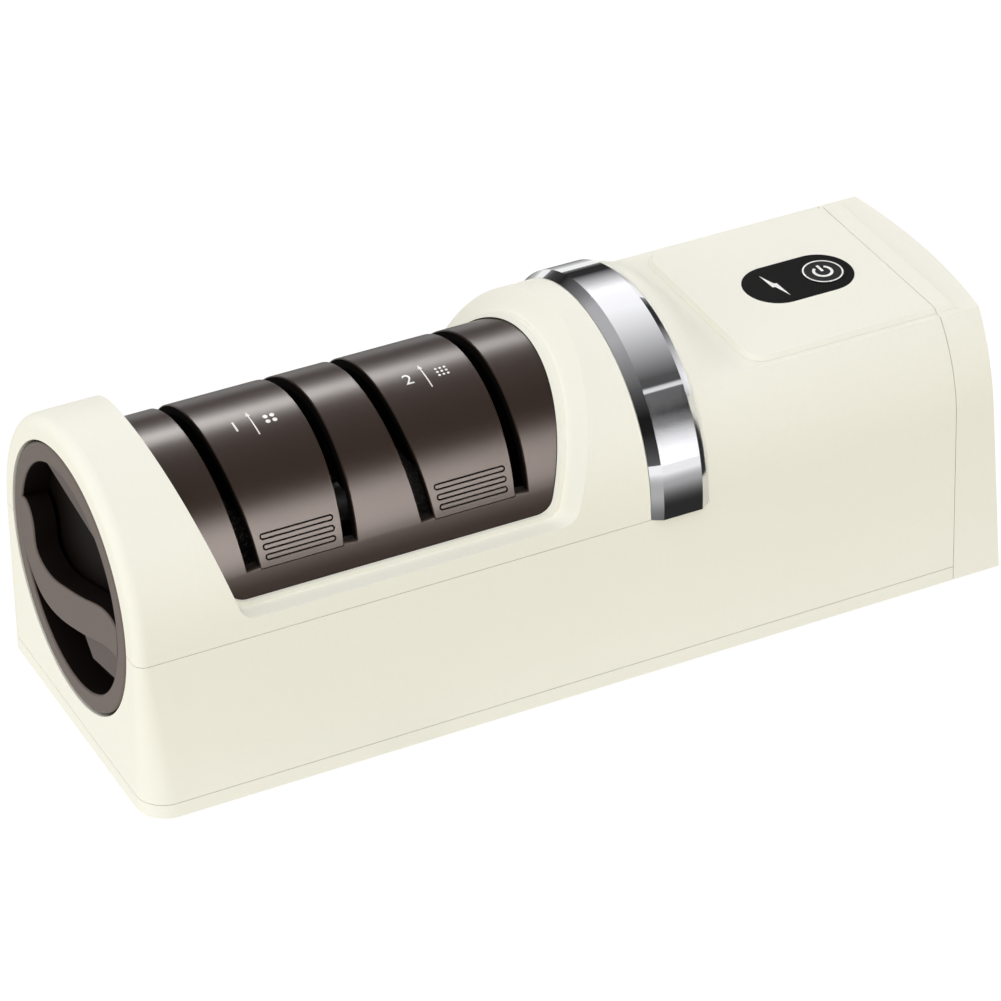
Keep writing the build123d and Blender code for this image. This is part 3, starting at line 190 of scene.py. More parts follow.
class Canvas:
    """A node tree under construction, for a material or the world."""

    noise_falloff = 0.55  # strength of each finer layer of noise over the one before

    def __init__(self, tree: bpy.types.NodeTree) -> None:
        """Start on an emptied node tree.

        Args:
            tree: The node tree to fill.
        """
        self.tree = tree
        self.tree.nodes.clear()

    def node(
        self,
        kind: str,
        settings: dict[str, Any] | None = None,
        inputs: dict[int | str, Any] | None = None,
    ) -> bpy.types.Node:
        """Add a node.

        Args:
            kind: The node's type.
            settings: Properties of the node, which are set first; "stops" fills a colour ramp.
            inputs: Values, wrapped values or sockets for the node's inputs.

        Returns:
            The new node.
        """
        made = self.tree.nodes.new(kind)
        for key, value in (settings or {}).items():
            if key == "stops":
                self._fill_ramp(made, value)
            else:
                setattr(made, key, value)
        for key, value in (inputs or {}).items():
            self.feed(made.inputs[key], value)
        return made

    def feed(self, target: bpy.types.NodeSocket, value: Any) -> None:
        """Set or link an input socket.

        Args:
            target: The input socket.
            value: A number, a colour, a wrapped value or an output socket.
        """
        if isinstance(value, Value):
            value = value.socket
        if isinstance(value, bpy.types.NodeSocket):
            self.tree.links.new(value, target)
        else:
            target.default_value = value

    def _fill_ramp(self, made: bpy.types.Node, stops: Sequence[tuple[float, Colour]]) -> None:
        """Put stops into a colour ramp.

        Args:
            made: The colour ramp's node.
            stops: The stops' places and colours.
        """
        elements = made.color_ramp.elements
        while len(elements) < len(stops):
            elements.new(0.5)
        for element, (place, colour) in zip(elements, stops):
            element.position = place
            element.color = colour

    def coordinates(self, scale: Sequence[float] = (1.0, 1.0, 1.0)) -> bpy.types.NodeSocket:
        """Give the object coordinates, stretched along each axis.

        Args:
            scale: The stretch along X, Y and Z.

        Returns:
            The vector socket.
        """
        source = self.node("ShaderNodeTexCoord").outputs["Object"]
        mapped = self.node("ShaderNodeMapping", inputs={"Vector": source, "Scale": tuple(scale)})
        return mapped.outputs["Vector"]

    def axes(self, source: str = "Object") -> tuple[Value, Value, Value]:
        """Give a texture coordinate as three values.

        Args:
            source: The coordinate's name: the place, the surface normal or a direction.

        Returns:
            Its X, Y and Z.
        """
        vector = self.node("ShaderNodeTexCoord").outputs[source]
        parts = self.node("ShaderNodeSeparateXYZ", inputs={0: vector})
        return tuple(Value(self, parts.outputs[name]) for name in "XYZ")

    def rays(self, *kinds: str) -> tuple[Value, ...]:
        """Give, for each kind of ray, 1 where such a ray sees the surface, or else 0."""
        path = self.node("ShaderNodeLightPath")
        return tuple(Value(self, path.outputs[kind]) for kind in kinds)

    def noise(
        self, scale: float, stretch: Sequence[float] = (1.0, 1.0, 1.0), detail: float = 2.0
    ) -> Value:
        """Add a noise pattern on the object coordinates.

        Args:
            scale: Features per metre.
            stretch: The stretch along X, Y and Z.
            detail: The number of finer layers.

        Returns:
            The noise, about 0.5.
        """
        made = self.node(
            "ShaderNodeTexNoise",
            {"noise_dimensions": "3D"},
            {
                "Vector": self.coordinates(stretch),
                "Scale": scale,
                "Detail": detail,
                "Roughness": self.noise_falloff,
            },
        )
        return Value(self, made.outputs["Fac"])

    def cells(self, scale: float) -> tuple[Value, Value]:
        """Add a pattern of cells on the object coordinates.

        Args:
            scale: Cells per metre.

        Returns:
            Each point's distance to its cell's middle, and the cell's random value.
        """
        made = self.node(
            "ShaderNodeTexVoronoi",
            {"feature": "F1"},
            {"Vector": self.coordinates(), "Scale": scale},
        )
        spread = self.node("ShaderNodeSeparateColor", inputs={0: made.outputs["Color"]})
        return Value(self, made.outputs["Distance"]), Value(self, spread.outputs[0])

    def mix(
        self,
        factor: Value | float,
        low: Colour | bpy.types.NodeSocket,
        high: Colour | bpy.types.NodeSocket,
        blend: str = "MIX",
    ) -> bpy.types.NodeSocket:
        """Mix two colours.

        Args:
            factor: The share of the second colour.
            low: The first colour.
            high: The second colour.
            blend: How the two are put together.

        Returns:
            The colour socket.
        """
        settings = {"data_type": "RGBA", "blend_type": blend}
        made = self.node("ShaderNodeMix", settings, {"Factor": factor, 6: low, 7: high})
        return made.outputs[2]

    def mottle(self, factor: Value, colour: Colour, spread: float) -> bpy.types.NodeSocket:
        """Drift a colour between a darker and a lighter shade of it.

        Args:
            factor: The share of the lighter shade.
            colour: The colour.
            spread: How much lighter and darker it gets.

        Returns:
            The colour socket.
        """
        return self.mix(factor, shade(colour, 1 - spread), shade(colour, 1 + spread))

    def bump(self, height: Value, distance: float, strength: float = 1.0) -> bpy.types.NodeSocket:
        """Turn a height into a bumped normal.

        Args:
            height: The height, 0 to 1.
            distance: What a height of 1 stands for, in metres.
            strength: The bump's strength.

        Returns:
            The normal's socket.
        """
        made = self.node(
            "ShaderNodeBump", inputs={"Height": height, "Distance": distance, "Strength": strength}
        )
        return made.outputs["Normal"]


class Coating(Canvas):
    """A material with one Principled shader."""

    def __init__(self, name: str) -> None:
        """Start a material.

        Args:
            name: The material's name.
        """
        self.material = bpy.data.materials.new(name)
        self.material.use_nodes = True
        super().__init__(self.material.node_tree)
        self.shader = self.node("ShaderNodeBsdfPrincipled")
        self.node("ShaderNodeOutputMaterial", inputs={"Surface": self.shader.outputs["BSDF"]})

    def set(self, **sockets: Any) -> None:
        """Set or link sockets of the shader, named with underscores for spaces."""
        for key, value in sockets.items():
            self.feed(self.shader.inputs[key.replace("_", " ")], value)


# ---------------------------------------------------------------- finishes


@dataclass(frozen=True)
class Finish:
    """A finish that can be put on any piece. Each is painted once."""

    name: str

    def material(self) -> bpy.types.Material:
        """Give the material, made at its first use."""
        found = bpy.data.materials.get(self.name)
        return found or self.paint()

    def paint(self) -> bpy.types.Material:
        """Make the material."""
        raise NotImplementedError


@dataclass(frozen=True)
class Plastic(Finish):
    """Moulded plastic with a faint mottle, a fine grain and an uneven gloss."""

    colour: Colour = (0.8, 0.8, 0.8, 1.0)
    mottle: float = 0.03  # how much lighter and darker the colour drifts
    mottle_scale: float = 30.0
    roughness: float = 0.4
    gloss_drift: float = 0.06
    gloss_scale: float = 120.0
    coat: float = 0.0
    coat_roughness: float = 0.08
    grain_scale: float = 1500.0
    grain_layers: float = 3.0
    grain_depth: float = 0.006 * MM
    metallic: float = 0.0
    shine: float = 0.5  # share of light that the bare skin mirrors, 0.5 for common plastics

    def paint(self) -> bpy.types.Material:
        """Make the material."""
        coating = Coating(self.name)
        drift = coating.noise(self.mottle_scale)
        grain = coating.noise(self.grain_scale, detail=self.grain_layers)
        gloss = coating.noise(self.gloss_scale) - 0.5
        coating.set(
            Base_Color=coating.mottle(drift, self.colour, self.mottle),
            Roughness=self.roughness + self.gloss_drift * gloss,
            Metallic=self.metallic,
            Specular_IOR_Level=self.shine,
            Coat_Weight=self.coat,
            Coat_Roughness=self.coat_roughness,
            Normal=coating.bump(grain, self.grain_depth),
        )
        return coating.material


@dataclass(frozen=True)
class Lacquer(Finish):
    """Satin lacquer with fine flakes on a drum's outside, and painted shade, near black, below its
    skin, where the slots' walls are.
    """

    colour: Colour = (0.1, 0.1, 0.1, 1.0)
    # painted shade: the near black drawn on every face deeper than the skin, such as the slots'
    # walls
    inside: Colour = (0.01, 0.01, 0.01, 1.0)
    axis_z: float = 0.0  # the drum's axis and radius, taken from the frame
    radius: float = 1.0
    skin: float = 0.3 * MM  # depth of the lacquer at an edge
    skin_fade: float = 0.05 * MM
    flake: float = 0.1  # how much the flakes differ
    flake_scale: float = 5200.0
    flake_share: float = 0.8  # the rest is a slow drift
    flake_height: float = 0.004 * MM
    flake_relief: float = 0.3
    drift_scale: float = 18.0
    roughness: float = 0.3
    below_skin_roughness: float = 0.95
    gloss_drift: float = 0.03
    glint: Colour = (1.0, 0.9, 0.84, 1.0)
    shine: float = 0.25

    def paint(self) -> bpy.types.Material:
        """Make the material."""
        coating = Coating(self.name)
        _, across, up = coating.axes()
        rise = up - self.axis_z
        reach = (across * across + rise * rise).root()
        skin_radius = self.radius - self.skin
        # Deeper than the skin, the slots' walls and the drum's inside get near black as painted
        # shade.
        outside = reach.ramp(skin_radius - self.skin_fade, skin_radius)
        _, pick = coating.cells(self.flake_scale)
        drift = coating.noise(self.drift_scale)
        blend = pick * self.flake_share + drift * (1 - self.flake_share)
        flakes = coating.mottle(blend, self.colour, self.flake)
        gloss = (self.below_skin_roughness - self.roughness) * outside
        coating.set(
            Base_Color=coating.mix(outside, self.inside, flakes),
            Roughness=self.below_skin_roughness - gloss + self.gloss_drift * (drift - 0.5),
            Specular_IOR_Level=self.shine,
            Specular_Tint=self.glint,
            Normal=coating.bump(pick, self.flake_height, self.flake_relief),
        )
        return coating.material


@dataclass(frozen=True)
class Metal(Finish):
    """Bare or plated metal with fine lines along one direction and an uneven gloss."""

    colour: Colour = (0.6, 0.6, 0.6, 1.0)
    roughness: float = 0.25
    gloss_drift: float = 0.05
    lines: tuple[float, float, float] = (1.0, 1.0, 1.0)  # stretch of the line pattern
    line_scale: float = 900.0
    line_layers: float = 4.0
    line_depth: float = 0.002 * MM
    line_relief: float = 0.6
    tarnish: float = 0.06
    tarnish_scale: float = 60.0

    def paint(self) -> bpy.types.Material:
        """Make the material."""
        coating = Coating(self.name)
        brush = coating.noise(self.line_scale, self.lines, self.line_layers)
        stain = coating.noise(self.tarnish_scale)
        tint = coating.mix(stain, shade(self.colour, 1 - self.tarnish), self.colour)
        coating.set(
            Base_Color=tint,
            Roughness=self.roughness + self.gloss_drift * (brush + stain - 1),
            Metallic=1.0,
            Normal=coating.bump(brush, self.line_depth, self.line_relief),
        )
        return coating.material


@dataclass(frozen=True)
class Grit(Finish):
    """Bonded abrasive: grains of two shades standing proud of their bond."""

    colour: Colour = (0.4, 0.4, 0.4, 1.0)
    spark: Colour = (0.8, 0.8, 0.8, 1.0)
    spark_pick: tuple[float, float] = (0.72, 0.95)  # random values where grains turn bright
    grain_scale: float = 2500.0
    depth: float = 0.08 * MM
    low_grain: float = 0.4  # height of the lowest grain
    roughness: float = 0.85
    spark_gloss: float = 0.35

    def paint(self) -> bpy.types.Material:
        """Make the material."""
        coating = Coating(self.name)
        distance, pick = coating.cells(self.grain_scale)
        bright = pick.ramp(*self.spark_pick)
        height = (1 - distance) * (self.low_grain + (1 - self.low_grain) * pick)
        coating.set(
            Base_Color=coating.mix(bright, self.colour, self.spark),
            Roughness=self.roughness - self.spark_gloss * bright,
            Normal=coating.bump(height, self.depth),
        )
        return coating.material


@dataclass(frozen=True)
class Banded(Finish):
    """Stacked or wound metal, drawn as fine bands along X."""

    colour: Colour = (0.3, 0.3, 0.3, 1.0)
    gap: Colour = (0.05, 0.05, 0.05, 1.0)
    bands: float = 2000.0  # per metre
    band_edge: tuple[float, float] = (0.1, 0.5)
    band_height: float = 0.05 * MM
    metallic: float = 0.9
    roughness: float = 0.35
    rust: float = 0.25
    rust_scale: float = 200.0

    def paint(self) -> bpy.types.Material:
        """Make the material."""
        coating = Coating(self.name)
        along, _, _ = coating.axes()
        band = (along * (self.bands * 2 * math.pi)).wave() * 0.5 + 0.5
        coating.set(
            Base_Color=coating.mix(band.ramp(*self.band_edge), self.gap, self.colour),
            Roughness=self.roughness + self.rust * coating.noise(self.rust_scale),
            Metallic=self.metallic,
            Normal=coating.bump(band, self.band_height),
        )
        return coating.material


@dataclass(frozen=True)
class Solder(Finish):
    """A circuit board's mask, with the copper tracks showing through as lighter lines."""

    colour: Colour = (0.02, 0.12, 0.05, 1.0)
    track: Colour = (0.05, 0.25, 0.1, 1.0)
    pitch: float = 420.0  # tracks per metre where they run across
    cross_pitch: float = 336.0  # and where they run along
    track_edge: tuple[float, float] = (0.55, 0.7)
    track_height: float = 0.03 * MM
    track_gloss: float = 0.1
    warp: float = 6.0 * MM
    warp_scale: float = 90.0
    region_scale: float = 70.0
    roughness: float = 0.38
    coat: float = 0.3

    def paint(self) -> bpy.types.Material:
        """Make the material."""
        coating = Coating(self.name)
        along, across, _ = coating.axes()
        warp = coating.noise(self.warp_scale) * self.warp
        lines = ((along + warp) * (self.pitch * 2 * math.pi)).wave()
        cross = ((across + warp) * (self.cross_pitch * 2 * math.pi)).wave()
        pick = coating.noise(self.region_scale, detail=0.0) > 0.5
        mask = (lines * pick + cross * (1 - pick)).ramp(*self.track_edge)
        coating.set(
            Base_Color=coating.mix(mask, self.colour, self.track),
            Roughness=self.roughness - self.track_gloss * mask,
            Coat_Weight=self.coat,
            Normal=coating.bump(mask, self.track_height),
        )
        return coating.material


@dataclass(frozen=True)
class Frosted(Finish):
    """Milky clear plastic that carries the lamp's light."""

    colour: Colour = (0.9, 0.9, 0.92, 1.0)
    cloud: float = 0.06  # how much darker the clear places are
    cloud_scale: float = 500.0
    cloud_height: float = 0.01 * MM
    roughness: float = 0.35
    cloud_roughness: float = 0.2
    transmission: float = 0.6
    refraction: float = 1.49

    def paint(self) -> bpy.types.Material:
        """Make the material."""
        coating = Coating(self.name)
        cloud = coating.noise(self.cloud_scale)
        coating.set(
            Base_Color=coating.mix(cloud, shade(self.colour, 1 - self.cloud), self.colour),
            Roughness=self.roughness + self.cloud_roughness * cloud,
            Transmission_Weight=self.transmission,
            IOR=self.refraction,
            Normal=coating.bump(cloud, self.cloud_height),
        )
        return coating.material


@dataclass(frozen=True)
class KnobSkin(Finish):
    """Brown plastic on the knob's face, with painted shade: near black in the hollows on both
    sides of its grip.
    """

    colour: Colour = (0.1, 0.1, 0.1, 1.0)
    # painted shade: the near black drawn on the hollows' walls and floor, where shade falls
    hollow_shade: Colour = (0.01, 0.01, 0.01, 1.0)
    face_x: float = 0.0  # the face's place, taken from the frame
    edge: float = 0.45 * MM  # depth of the rounding along the face's edges
    edge_fade: float = 0.15 * MM
    floor_shade_depth: tuple[float, float] = (3.2 * MM, 4.2 * MM)  # over which the painted shade on the hollows' floor starts
    wall_facing: tuple[float, float] = (-0.8, -0.6)  # X of the normal where a face turns to a wall
    painted_facet_shade: float = 0.72  # painted shade: brightness of the sunken facets beside the face, against the face's colour
    mottle: float = 0.06
    mottle_scale: float = 60.0
    roughness: float = 0.42
    gloss_drift: float = 0.08
    hollow_roughness: float = 0.2
    metallic: float = 0.1
    shine: float = 0.2
    grain_scale: float = 1800.0
    grain_layers: float = 3.0
    grain_depth: float = 0.005 * MM

    def paint(self) -> bpy.types.Material:
        """Make the material."""
        coating = Coating(self.name)
        along, _, _ = coating.axes()
        facing, _, _ = coating.axes("Normal")
        depth = along - self.face_x
        sunk = depth.ramp(self.edge, self.edge + self.edge_fade)
        wall = sunk * facing.ramp(*self.wall_facing)
        floor = depth.ramp(*self.floor_shade_depth)
        # Painted shade: the hollows' walls and floor are drawn in the near black colour.
        dark = wall + floor - wall * floor
        drift = coating.noise(self.mottle_scale)
        skin = coating.mottle(drift, self.colour, self.mottle)
        # Painted shade: the sunken facets get a darker copy of the face's colour.
        shaded_facets = coating.mix(sunk, skin, shade(self.colour, self.painted_facet_shade))
        gloss = self.gloss_drift * (drift - 0.5)
        grain = coating.noise(self.grain_scale, detail=self.grain_layers)
        coating.set(
            Base_Color=coating.mix(dark, shaded_facets, self.hollow_shade),
            Roughness=self.roughness + gloss + self.hollow_roughness * dark,
            Metallic=self.metallic - self.metallic * dark,
            Specular_IOR_Level=self.shine,
            Normal=coating.bump(grain, self.grain_depth),
        )
        return coating.material


class Finishes:
    """The finishes of the sharpener, by what they are on."""

    cream = Plastic(
        "pearl_cream",
        colour=srgb(244, 242, 230),
        mottle=0.01,
        roughness=0.5,
        shine=0.06,
        grain_scale=900.0,
        grain_depth=0.004 * MM,
    )
    # The lacquer's second colour is painted shade in the slots.
    lacquer = Lacquer("brown_lacquer", colour=srgb(44, 33, 28), inside=srgb(9, 5, 4))
    # The knob's second colour is painted shade in its hollows.
    knob = KnobSkin("knob_brown", colour=srgb(116, 105, 99), hollow_shade=srgb(22, 14, 10))
    chrome = Metal(
        "polished_chrome",
        colour=srgb(232, 232, 234),
        roughness=0.035,
        gloss_drift=0.015,
        lines=(6.0, 0.4, 0.4),
        tarnish=0.02,
    )
    lens = Plastic(
        "window_black",
        colour=srgb(10, 9, 8),
        roughness=0.12,
        gloss_drift=0.03,
        shine=0.03,
        grain_depth=0.001 * MM,
    )
    button = Plastic(
        "button_black",
        colour=srgb(15, 14, 13),
        roughness=0.2,
        shine=0.04,
        grain_depth=0.002 * MM,
    )
    print_white = Plastic(
        "printed_white", colour=srgb(236, 234, 230), roughness=0.5, grain_depth=0.003 * MM
    )
    black = Plastic(
        "moulded_black", colour=srgb(30, 28, 27), roughness=0.55, grain_depth=0.01 * MM
    )
    # Black plastic drawn still darker with almost no shine, as painted shade for the guides seen
    # deep in the slots.
    guide_shade_black = Plastic(
        "guide_black", colour=srgb(9, 6, 5), roughness=0.9, shine=0.03, grain_depth=0.01 * MM
    )
    charcoal = Plastic(
        "nylon_charcoal", colour=srgb(58, 56, 54), roughness=0.6, grain_depth=0.01 * MM
    )
    rubber = Plastic(
        "soft_rubber",
        colour=srgb(46, 45, 44),
        roughness=0.82,
        grain_scale=2600.0,
        grain_depth=0.03 * MM,
    )
    carbon = Plastic(
        "brush_carbon", colour=srgb(36, 35, 36), roughness=0.7, grain_depth=0.02 * MM
    )
    steel = Metal(
        "plain_steel", colour=srgb(198, 198, 200), roughness=0.28, lines=(0.3, 1.0, 1.0)
    )
    can = Metal(
        "rolled_steel", colour=srgb(186, 187, 190), roughness=0.32, lines=(0.1, 1.0, 1.0)
    )
    brass = Metal("bright_brass", colour=srgb(214, 178, 98), roughness=0.24)
    copper = Metal("turned_copper", colour=srgb(200, 122, 84), roughness=0.3)
    magnet = Plastic(
        "ferrite",
        colour=srgb(62, 61, 64),
        roughness=0.62,
        metallic=0.3,
        grain_depth=0.03 * MM,
    )
    iron = Banded("iron_laminations", colour=srgb(150, 148, 146), gap=srgb(46, 42, 40))
    board = Solder("board_mask", colour=srgb(18, 92, 52), track=srgb(42, 134, 82))
    wrap = Plastic(
        "cell_wrap", colour=srgb(66, 112, 168), roughness=0.3, coat=0.5, grain_depth=0.004 * MM
    )
    clear = Frosted("frosted_guide")
    coarse = Grit("coarse_abrasive", colour=srgb(40, 37, 35), spark=srgb(96, 91, 86))
    fine = Grit(
        "fine_abrasive",
        colour=srgb(84, 79, 74),
        spark=srgb(138, 132, 125),
        grain_scale=6000.0,
        depth=0.03 * MM,
    )


# ---------------------------------------------------------------- modelling helpers


def deselect() -> None:
    """Leave nothing selected, so that an operator acts on its own piece only."""
    bpy.ops.object.select_all(action="DESELECT")


def pick(piece: bpy.types.Object) -> None:
    """Make a piece the only selected and active one.

    Args:
        piece: The piece.
    """
    deselect()
    piece.select_set(True)
    bpy.context.view_layer.objects.active = piece


def name_new(name: str) -> bpy.types.Object:
    """Name the object that an operator has just added.

    Args:
        name: The name for the object and its mesh.

    Returns:
        The object.
    """
    piece = bpy.context.active_object
    piece.name = name
    piece.data.name = name
    return piece


def settle(piece: bpy.types.Object) -> bpy.types.Object:
    """Apply a piece's place, so that its object sits unturned at the origin.

    Args:
        piece: The piece.

    Returns:
        The same piece.
    """
    pick(piece)
    bpy.ops.object.transform_apply(location=True, rotation=True, scale=True)
    return piece


def thicken(piece: bpy.types.Object, thickness: float) -> None:
    """Give a flat outline a thickness, half of it below its plane.

    Args:
        piece: The flat piece.
        thickness: The whole thickness.
    """
    modifier = piece.modifiers.new("thickness", "SOLIDIFY")
    modifier.thickness = thickness
    modifier.offset = 0.0
    pick(piece)
    bpy.ops.object.modifier_apply(modifier=modifier.name)
    bpy.ops.object.mode_set(mode="EDIT")
    bpy.ops.mesh.select_all(action="SELECT")
    bpy.ops.mesh.normals_make_consistent(inside=False)
    bpy.ops.object.mode_set(mode="OBJECT")


def flat_outline(name: str, points: Sequence[tuple[float, float]]) -> bpy.types.Object:
    """Make a flat face from an outline.

    Args:
        name: The piece's name.
        points: The outline's corners in X and Y, anticlockwise.

    Returns:
        The new piece, lying in the plane Z = 0.
    """
    deselect()
    bpy.ops.mesh.primitive_circle_add(vertices=len(points), radius=1.0, fill_type="NGON")
    piece = name_new(name)
    for vertex, (x, y) in zip(piece.data.vertices, points):
        vertex.co = (x, y, 0.0)
    return piece


def flat_ring(name: str, radius: float, width: float, steps: int) -> bpy.types.Object:
    """Make a flat ring about the origin.

    Args:
        name: The piece's name.
        radius: The radius of the ring's middle line.
        width: The line's width.
        steps: The number of sides.

    Returns:
        The new piece, lying in the plane Z = 0.
    """
    deselect()
    outer = radius + width / 2
    bpy.ops.mesh.primitive_circle_add(vertices=steps, radius=outer, fill_type="NOTHING")
    piece = name_new(name)
    bpy.ops.object.mode_set(mode="EDIT")
    bpy.ops.mesh.select_all(action="SELECT")
    share = (radius - width / 2) / outer
    bpy.ops.mesh.extrude_edges_move()
    bpy.ops.transform.resize(value=(share, share, 1.0))
    bpy.ops.object.mode_set(mode="OBJECT")
    return piece


def drop_vertices(piece: bpy.types.Object, unwanted: Callable[[Vector], bool]) -> None:
    """Delete vertices of a piece.

    Args:
        piece: The piece.
        unwanted: The test that says of a vertex's place whether it goes.
    """
    pick(piece)
    bpy.ops.object.mode_set(mode="EDIT")
    bpy.ops.mesh.select_all(action="DESELECT")
    bpy.ops.object.mode_set(mode="OBJECT")
    for vertex in piece.data.vertices:
        vertex.select = unwanted(vertex.co)
    bpy.ops.object.mode_set(mode="EDIT")
    bpy.ops.mesh.delete(type="VERT")
    bpy.ops.object.mode_set(mode="OBJECT")


def cut_into_strips(piece: bpy.types.Object, low: float, high: float, step: float) -> None:
    """Cut a flat piece across Y at even steps, so that it can be rolled round a drum.

    Args:
        piece: The flat piece.
        low: Where the steps start.
        high: Where they end.
        step: The width of a strip.
    """
    pick(piece)
    bpy.ops.object.mode_set(mode="EDIT")
    place = low + step
    while place < high:
        bpy.ops.mesh.select_all(action="SELECT")
        bpy.ops.mesh.bisect(plane_co=(0.0, place, 0.0), plane_no=(0.0, 1.0, 0.0))
        place += step
    bpy.ops.object.mode_set(mode="OBJECT")


def join(pieces: Sequence[bpy.types.Object], name: str) -> bpy.types.Object:
    """Join pieces into the first one.

    Args:
        pieces: The pieces.
        name: The joined piece's name.

    Returns:
        The joined piece.
    """
    deselect()
    for piece in pieces:
        piece.select_set(True)
    bpy.context.view_layer.objects.active = pieces[0]
    bpy.ops.object.join()
    return name_new(name)


def finish_print(piece: bpy.types.Object, body: Body) -> None:
    """Paint a printed mark white, tie it to its body and report it.

    Args:
        piece: The mark, in place.
        body: The body that it moves with.
    """
    piece.data.materials.clear()
    piece.data.materials.append(Finishes.print_white.material())
    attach(piece, body.value)
    log.info("made %s with %d faces", piece.name, len(piece.data.polygons))


# ---------------------------------------------------------------- the object's sub-assemblies


@dataclass
class SubAssembly:
    """A group of CAD nodes and new pieces that are finished together."""

    nodes: dict[str, bpy.types.Object]

    def coat(self, finish: Finish, *names: str) -> None:
        """Put a finish on CAD nodes.

        Args:
            finish: The finish.
            names: The nodes' names.
        """
        for name in names:
            node = self.nodes[name]
            node.data.materials.clear()
            node.data.materials.append(finish.material())
            for polygon in node.data.polygons:
                polygon.material_index = 0
            log.info("coated %s with %s", name, finish.name)


@dataclass
class Shells(SubAssembly):
    """The cream casing, its metal band, and what fastens and carries it from below."""

    def build(self) -> None:
        """Finish the casing."""
        self.coat(Finishes.cream, "base_plate", "main_housing", "front_hood", "rear_cap")
        self.coat(Finishes.cream, "control_deck")
        self.coat(Finishes.chrome, "chrome_band")
        self.coat(Finishes.rubber, "rubber_feet")
        self.coat(Finishes.steel, "base_screws")


@dataclass(frozen=True)
class Stage:
    """One grinding stage: its guide tile and what the marks on it say."""

    tile: str
    number: str
    dots: int  # along each side of the grit mark, more for the finer grit
    dot_radius: float


@dataclass
class Drum(SubAssembly):
    """The grinding drum with its guide tiles and the marks printed on them."""

    stages: tuple[Stage, ...] = (
        Stage("coarse_tile", "1", 2, 0.62 * MM),
        Stage("fine_tile", "2", 3, 0.34 * MM),
    )
    mark_angle: float = math.radians(81.0)  # round the drum, from the user's side
    glyph_height: float = 3.6 * MM
    glyph_offset: float = 4.6 * MM  # from the arrow to the number and to the dots
    font_scale: float = 1.4  # font size for each unit of a figure's height
    dot_sides: int = 20
    arrow_length: float = 8.4 * MM
    arrow_line: float = 0.32 * MM
    arrow_head: float = 1.5 * MM
    arrow_head_width: float = 1.25 * MM
    print_thickness: float = 0.12 * MM
    strip: float = 0.5 * MM  # length of a mark's straight pieces, rolled round the drum
    radius: float = field(init=False)
    axis_z: float = field(init=False)

    def build(self) -> None:
        """Finish the drum."""
        low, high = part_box("drum_shell")
        self.radius = max(high.y, -low.y)
        self.axis_z = (low.z + high.z) / 2
        lacquer = replace(Finishes.lacquer, axis_z=self.axis_z, radius=self.radius)
        self.coat(lacquer, "drum_shell", "coarse_tile", "fine_tile")
        self.coat(Finishes.black, "drum_front_plate", "drum_rear_plate")
        # The guides' near black is their black plastic and painted shade in the slots.
        self.coat(Finishes.guide_shade_black, "blade_guides")
        self.coat(Finishes.steel, "spindle_bearings", "tie_rods")
        self.coat(Finishes.magnet, "swarf_magnet")
        for stage in self.stages:
            low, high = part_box(stage.tile)
            middle_x = (low.x + high.x) / 2
            self.roll_on(self.arrow(stage), middle_x)
            self.roll_on(self.numeral(stage), middle_x - self.glyph_offset)
            self.roll_on(self.grit_dots(stage), middle_x + self.glyph_offset)

    def arrow(self, stage: Stage) -> bpy.types.Object:
        """Make the arrow that shows which way the blade is drawn.

        Args:
            stage: The stage that it marks.

        Returns:
            The flat arrow.
        """
        half = self.arrow_line / 2
        wing = self.arrow_head_width / 2
        tip = self.arrow_length / 2
        neck = tip - self.arrow_head
        points = [
            (-half, -tip),
            (half, -tip),
            (half, neck),
            (wing, neck),
            (0.0, tip),
            (-wing, neck),
            (-half, neck),
        ]
        return flat_outline(f"{stage.tile}_arrow", points)

    def numeral(self, stage: Stage) -> bpy.types.Object:
        """Make a stage's number.

        Args:
            stage: The stage that it marks.

        Returns:
            The flat figure.
        """
        deselect()
        bpy.ops.object.text_add()
        text = bpy.context.active_object
        text.data.body = stage.number
        text.data.size = self.glyph_height * self.font_scale
        text.data.align_x = "CENTER"
        text.data.align_y = "CENTER"
        bpy.ops.object.convert(target="MESH")
        return name_new(f"{stage.tile}_number")

    def grit_dots(self, stage: Stage) -> bpy.types.Object:
        """Make the square grid of dots that shows how coarse the grit is.

        Args:
            stage: The stage that it marks.

        Returns:
            The flat dots.
        """
        pitch = self.glyph_height / stage.dots
        places = [(step - (stage.dots - 1) / 2) * pitch for step in range(stage.dots)]
        dots = []
        for x in places:
            for y in places:
                deselect()
                bpy.ops.mesh.primitive_circle_add(
                    vertices=self.dot_sides,
                    radius=stage.dot_radius,
                    fill_type="NGON",
                    location=(x, y, 0.0),
                )
                dots.append(settle(bpy.context.active_object))
        return join(dots, f"{stage.tile}_grit_dots")

    def roll_on(self, piece: bpy.types.Object, middle_x: float) -> None:
        """Lay a flat mark on the drum's skin.

        Args:
            piece: The mark, flat in X and Y about the origin, with +Y for its top.
            middle_x: The mark's place along the drum.
        """
        cut_into_strips(piece, -self.arrow_length / 2, self.arrow_length / 2, self.strip)
        thicken(piece, self.print_thickness)
        for vertex in piece.data.vertices:
            angle = self.mark_angle + vertex.co.y / self.radius
            reach = self.radius + vertex.co.z
            vertex.co = (
                middle_x + vertex.co.x,
                -reach * math.cos(angle),
                self.axis_z + reach * math.sin(angle),
            )
        finish_print(piece, Body.DRUM)


@dataclass
class Knob(SubAssembly):
    """The lock knob in the end of the drum, its cam and its bolts."""

    def build(self) -> None:
        """Finish the knob."""
        face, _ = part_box("knob")
        self.coat(replace(Finishes.knob, face_x=face.x), "knob")
        self.coat(Finishes.charcoal, "lock_cam")
        self.coat(Finishes.steel, "knob_pivot", "lock_bolt_top", "lock_bolt_bottom")


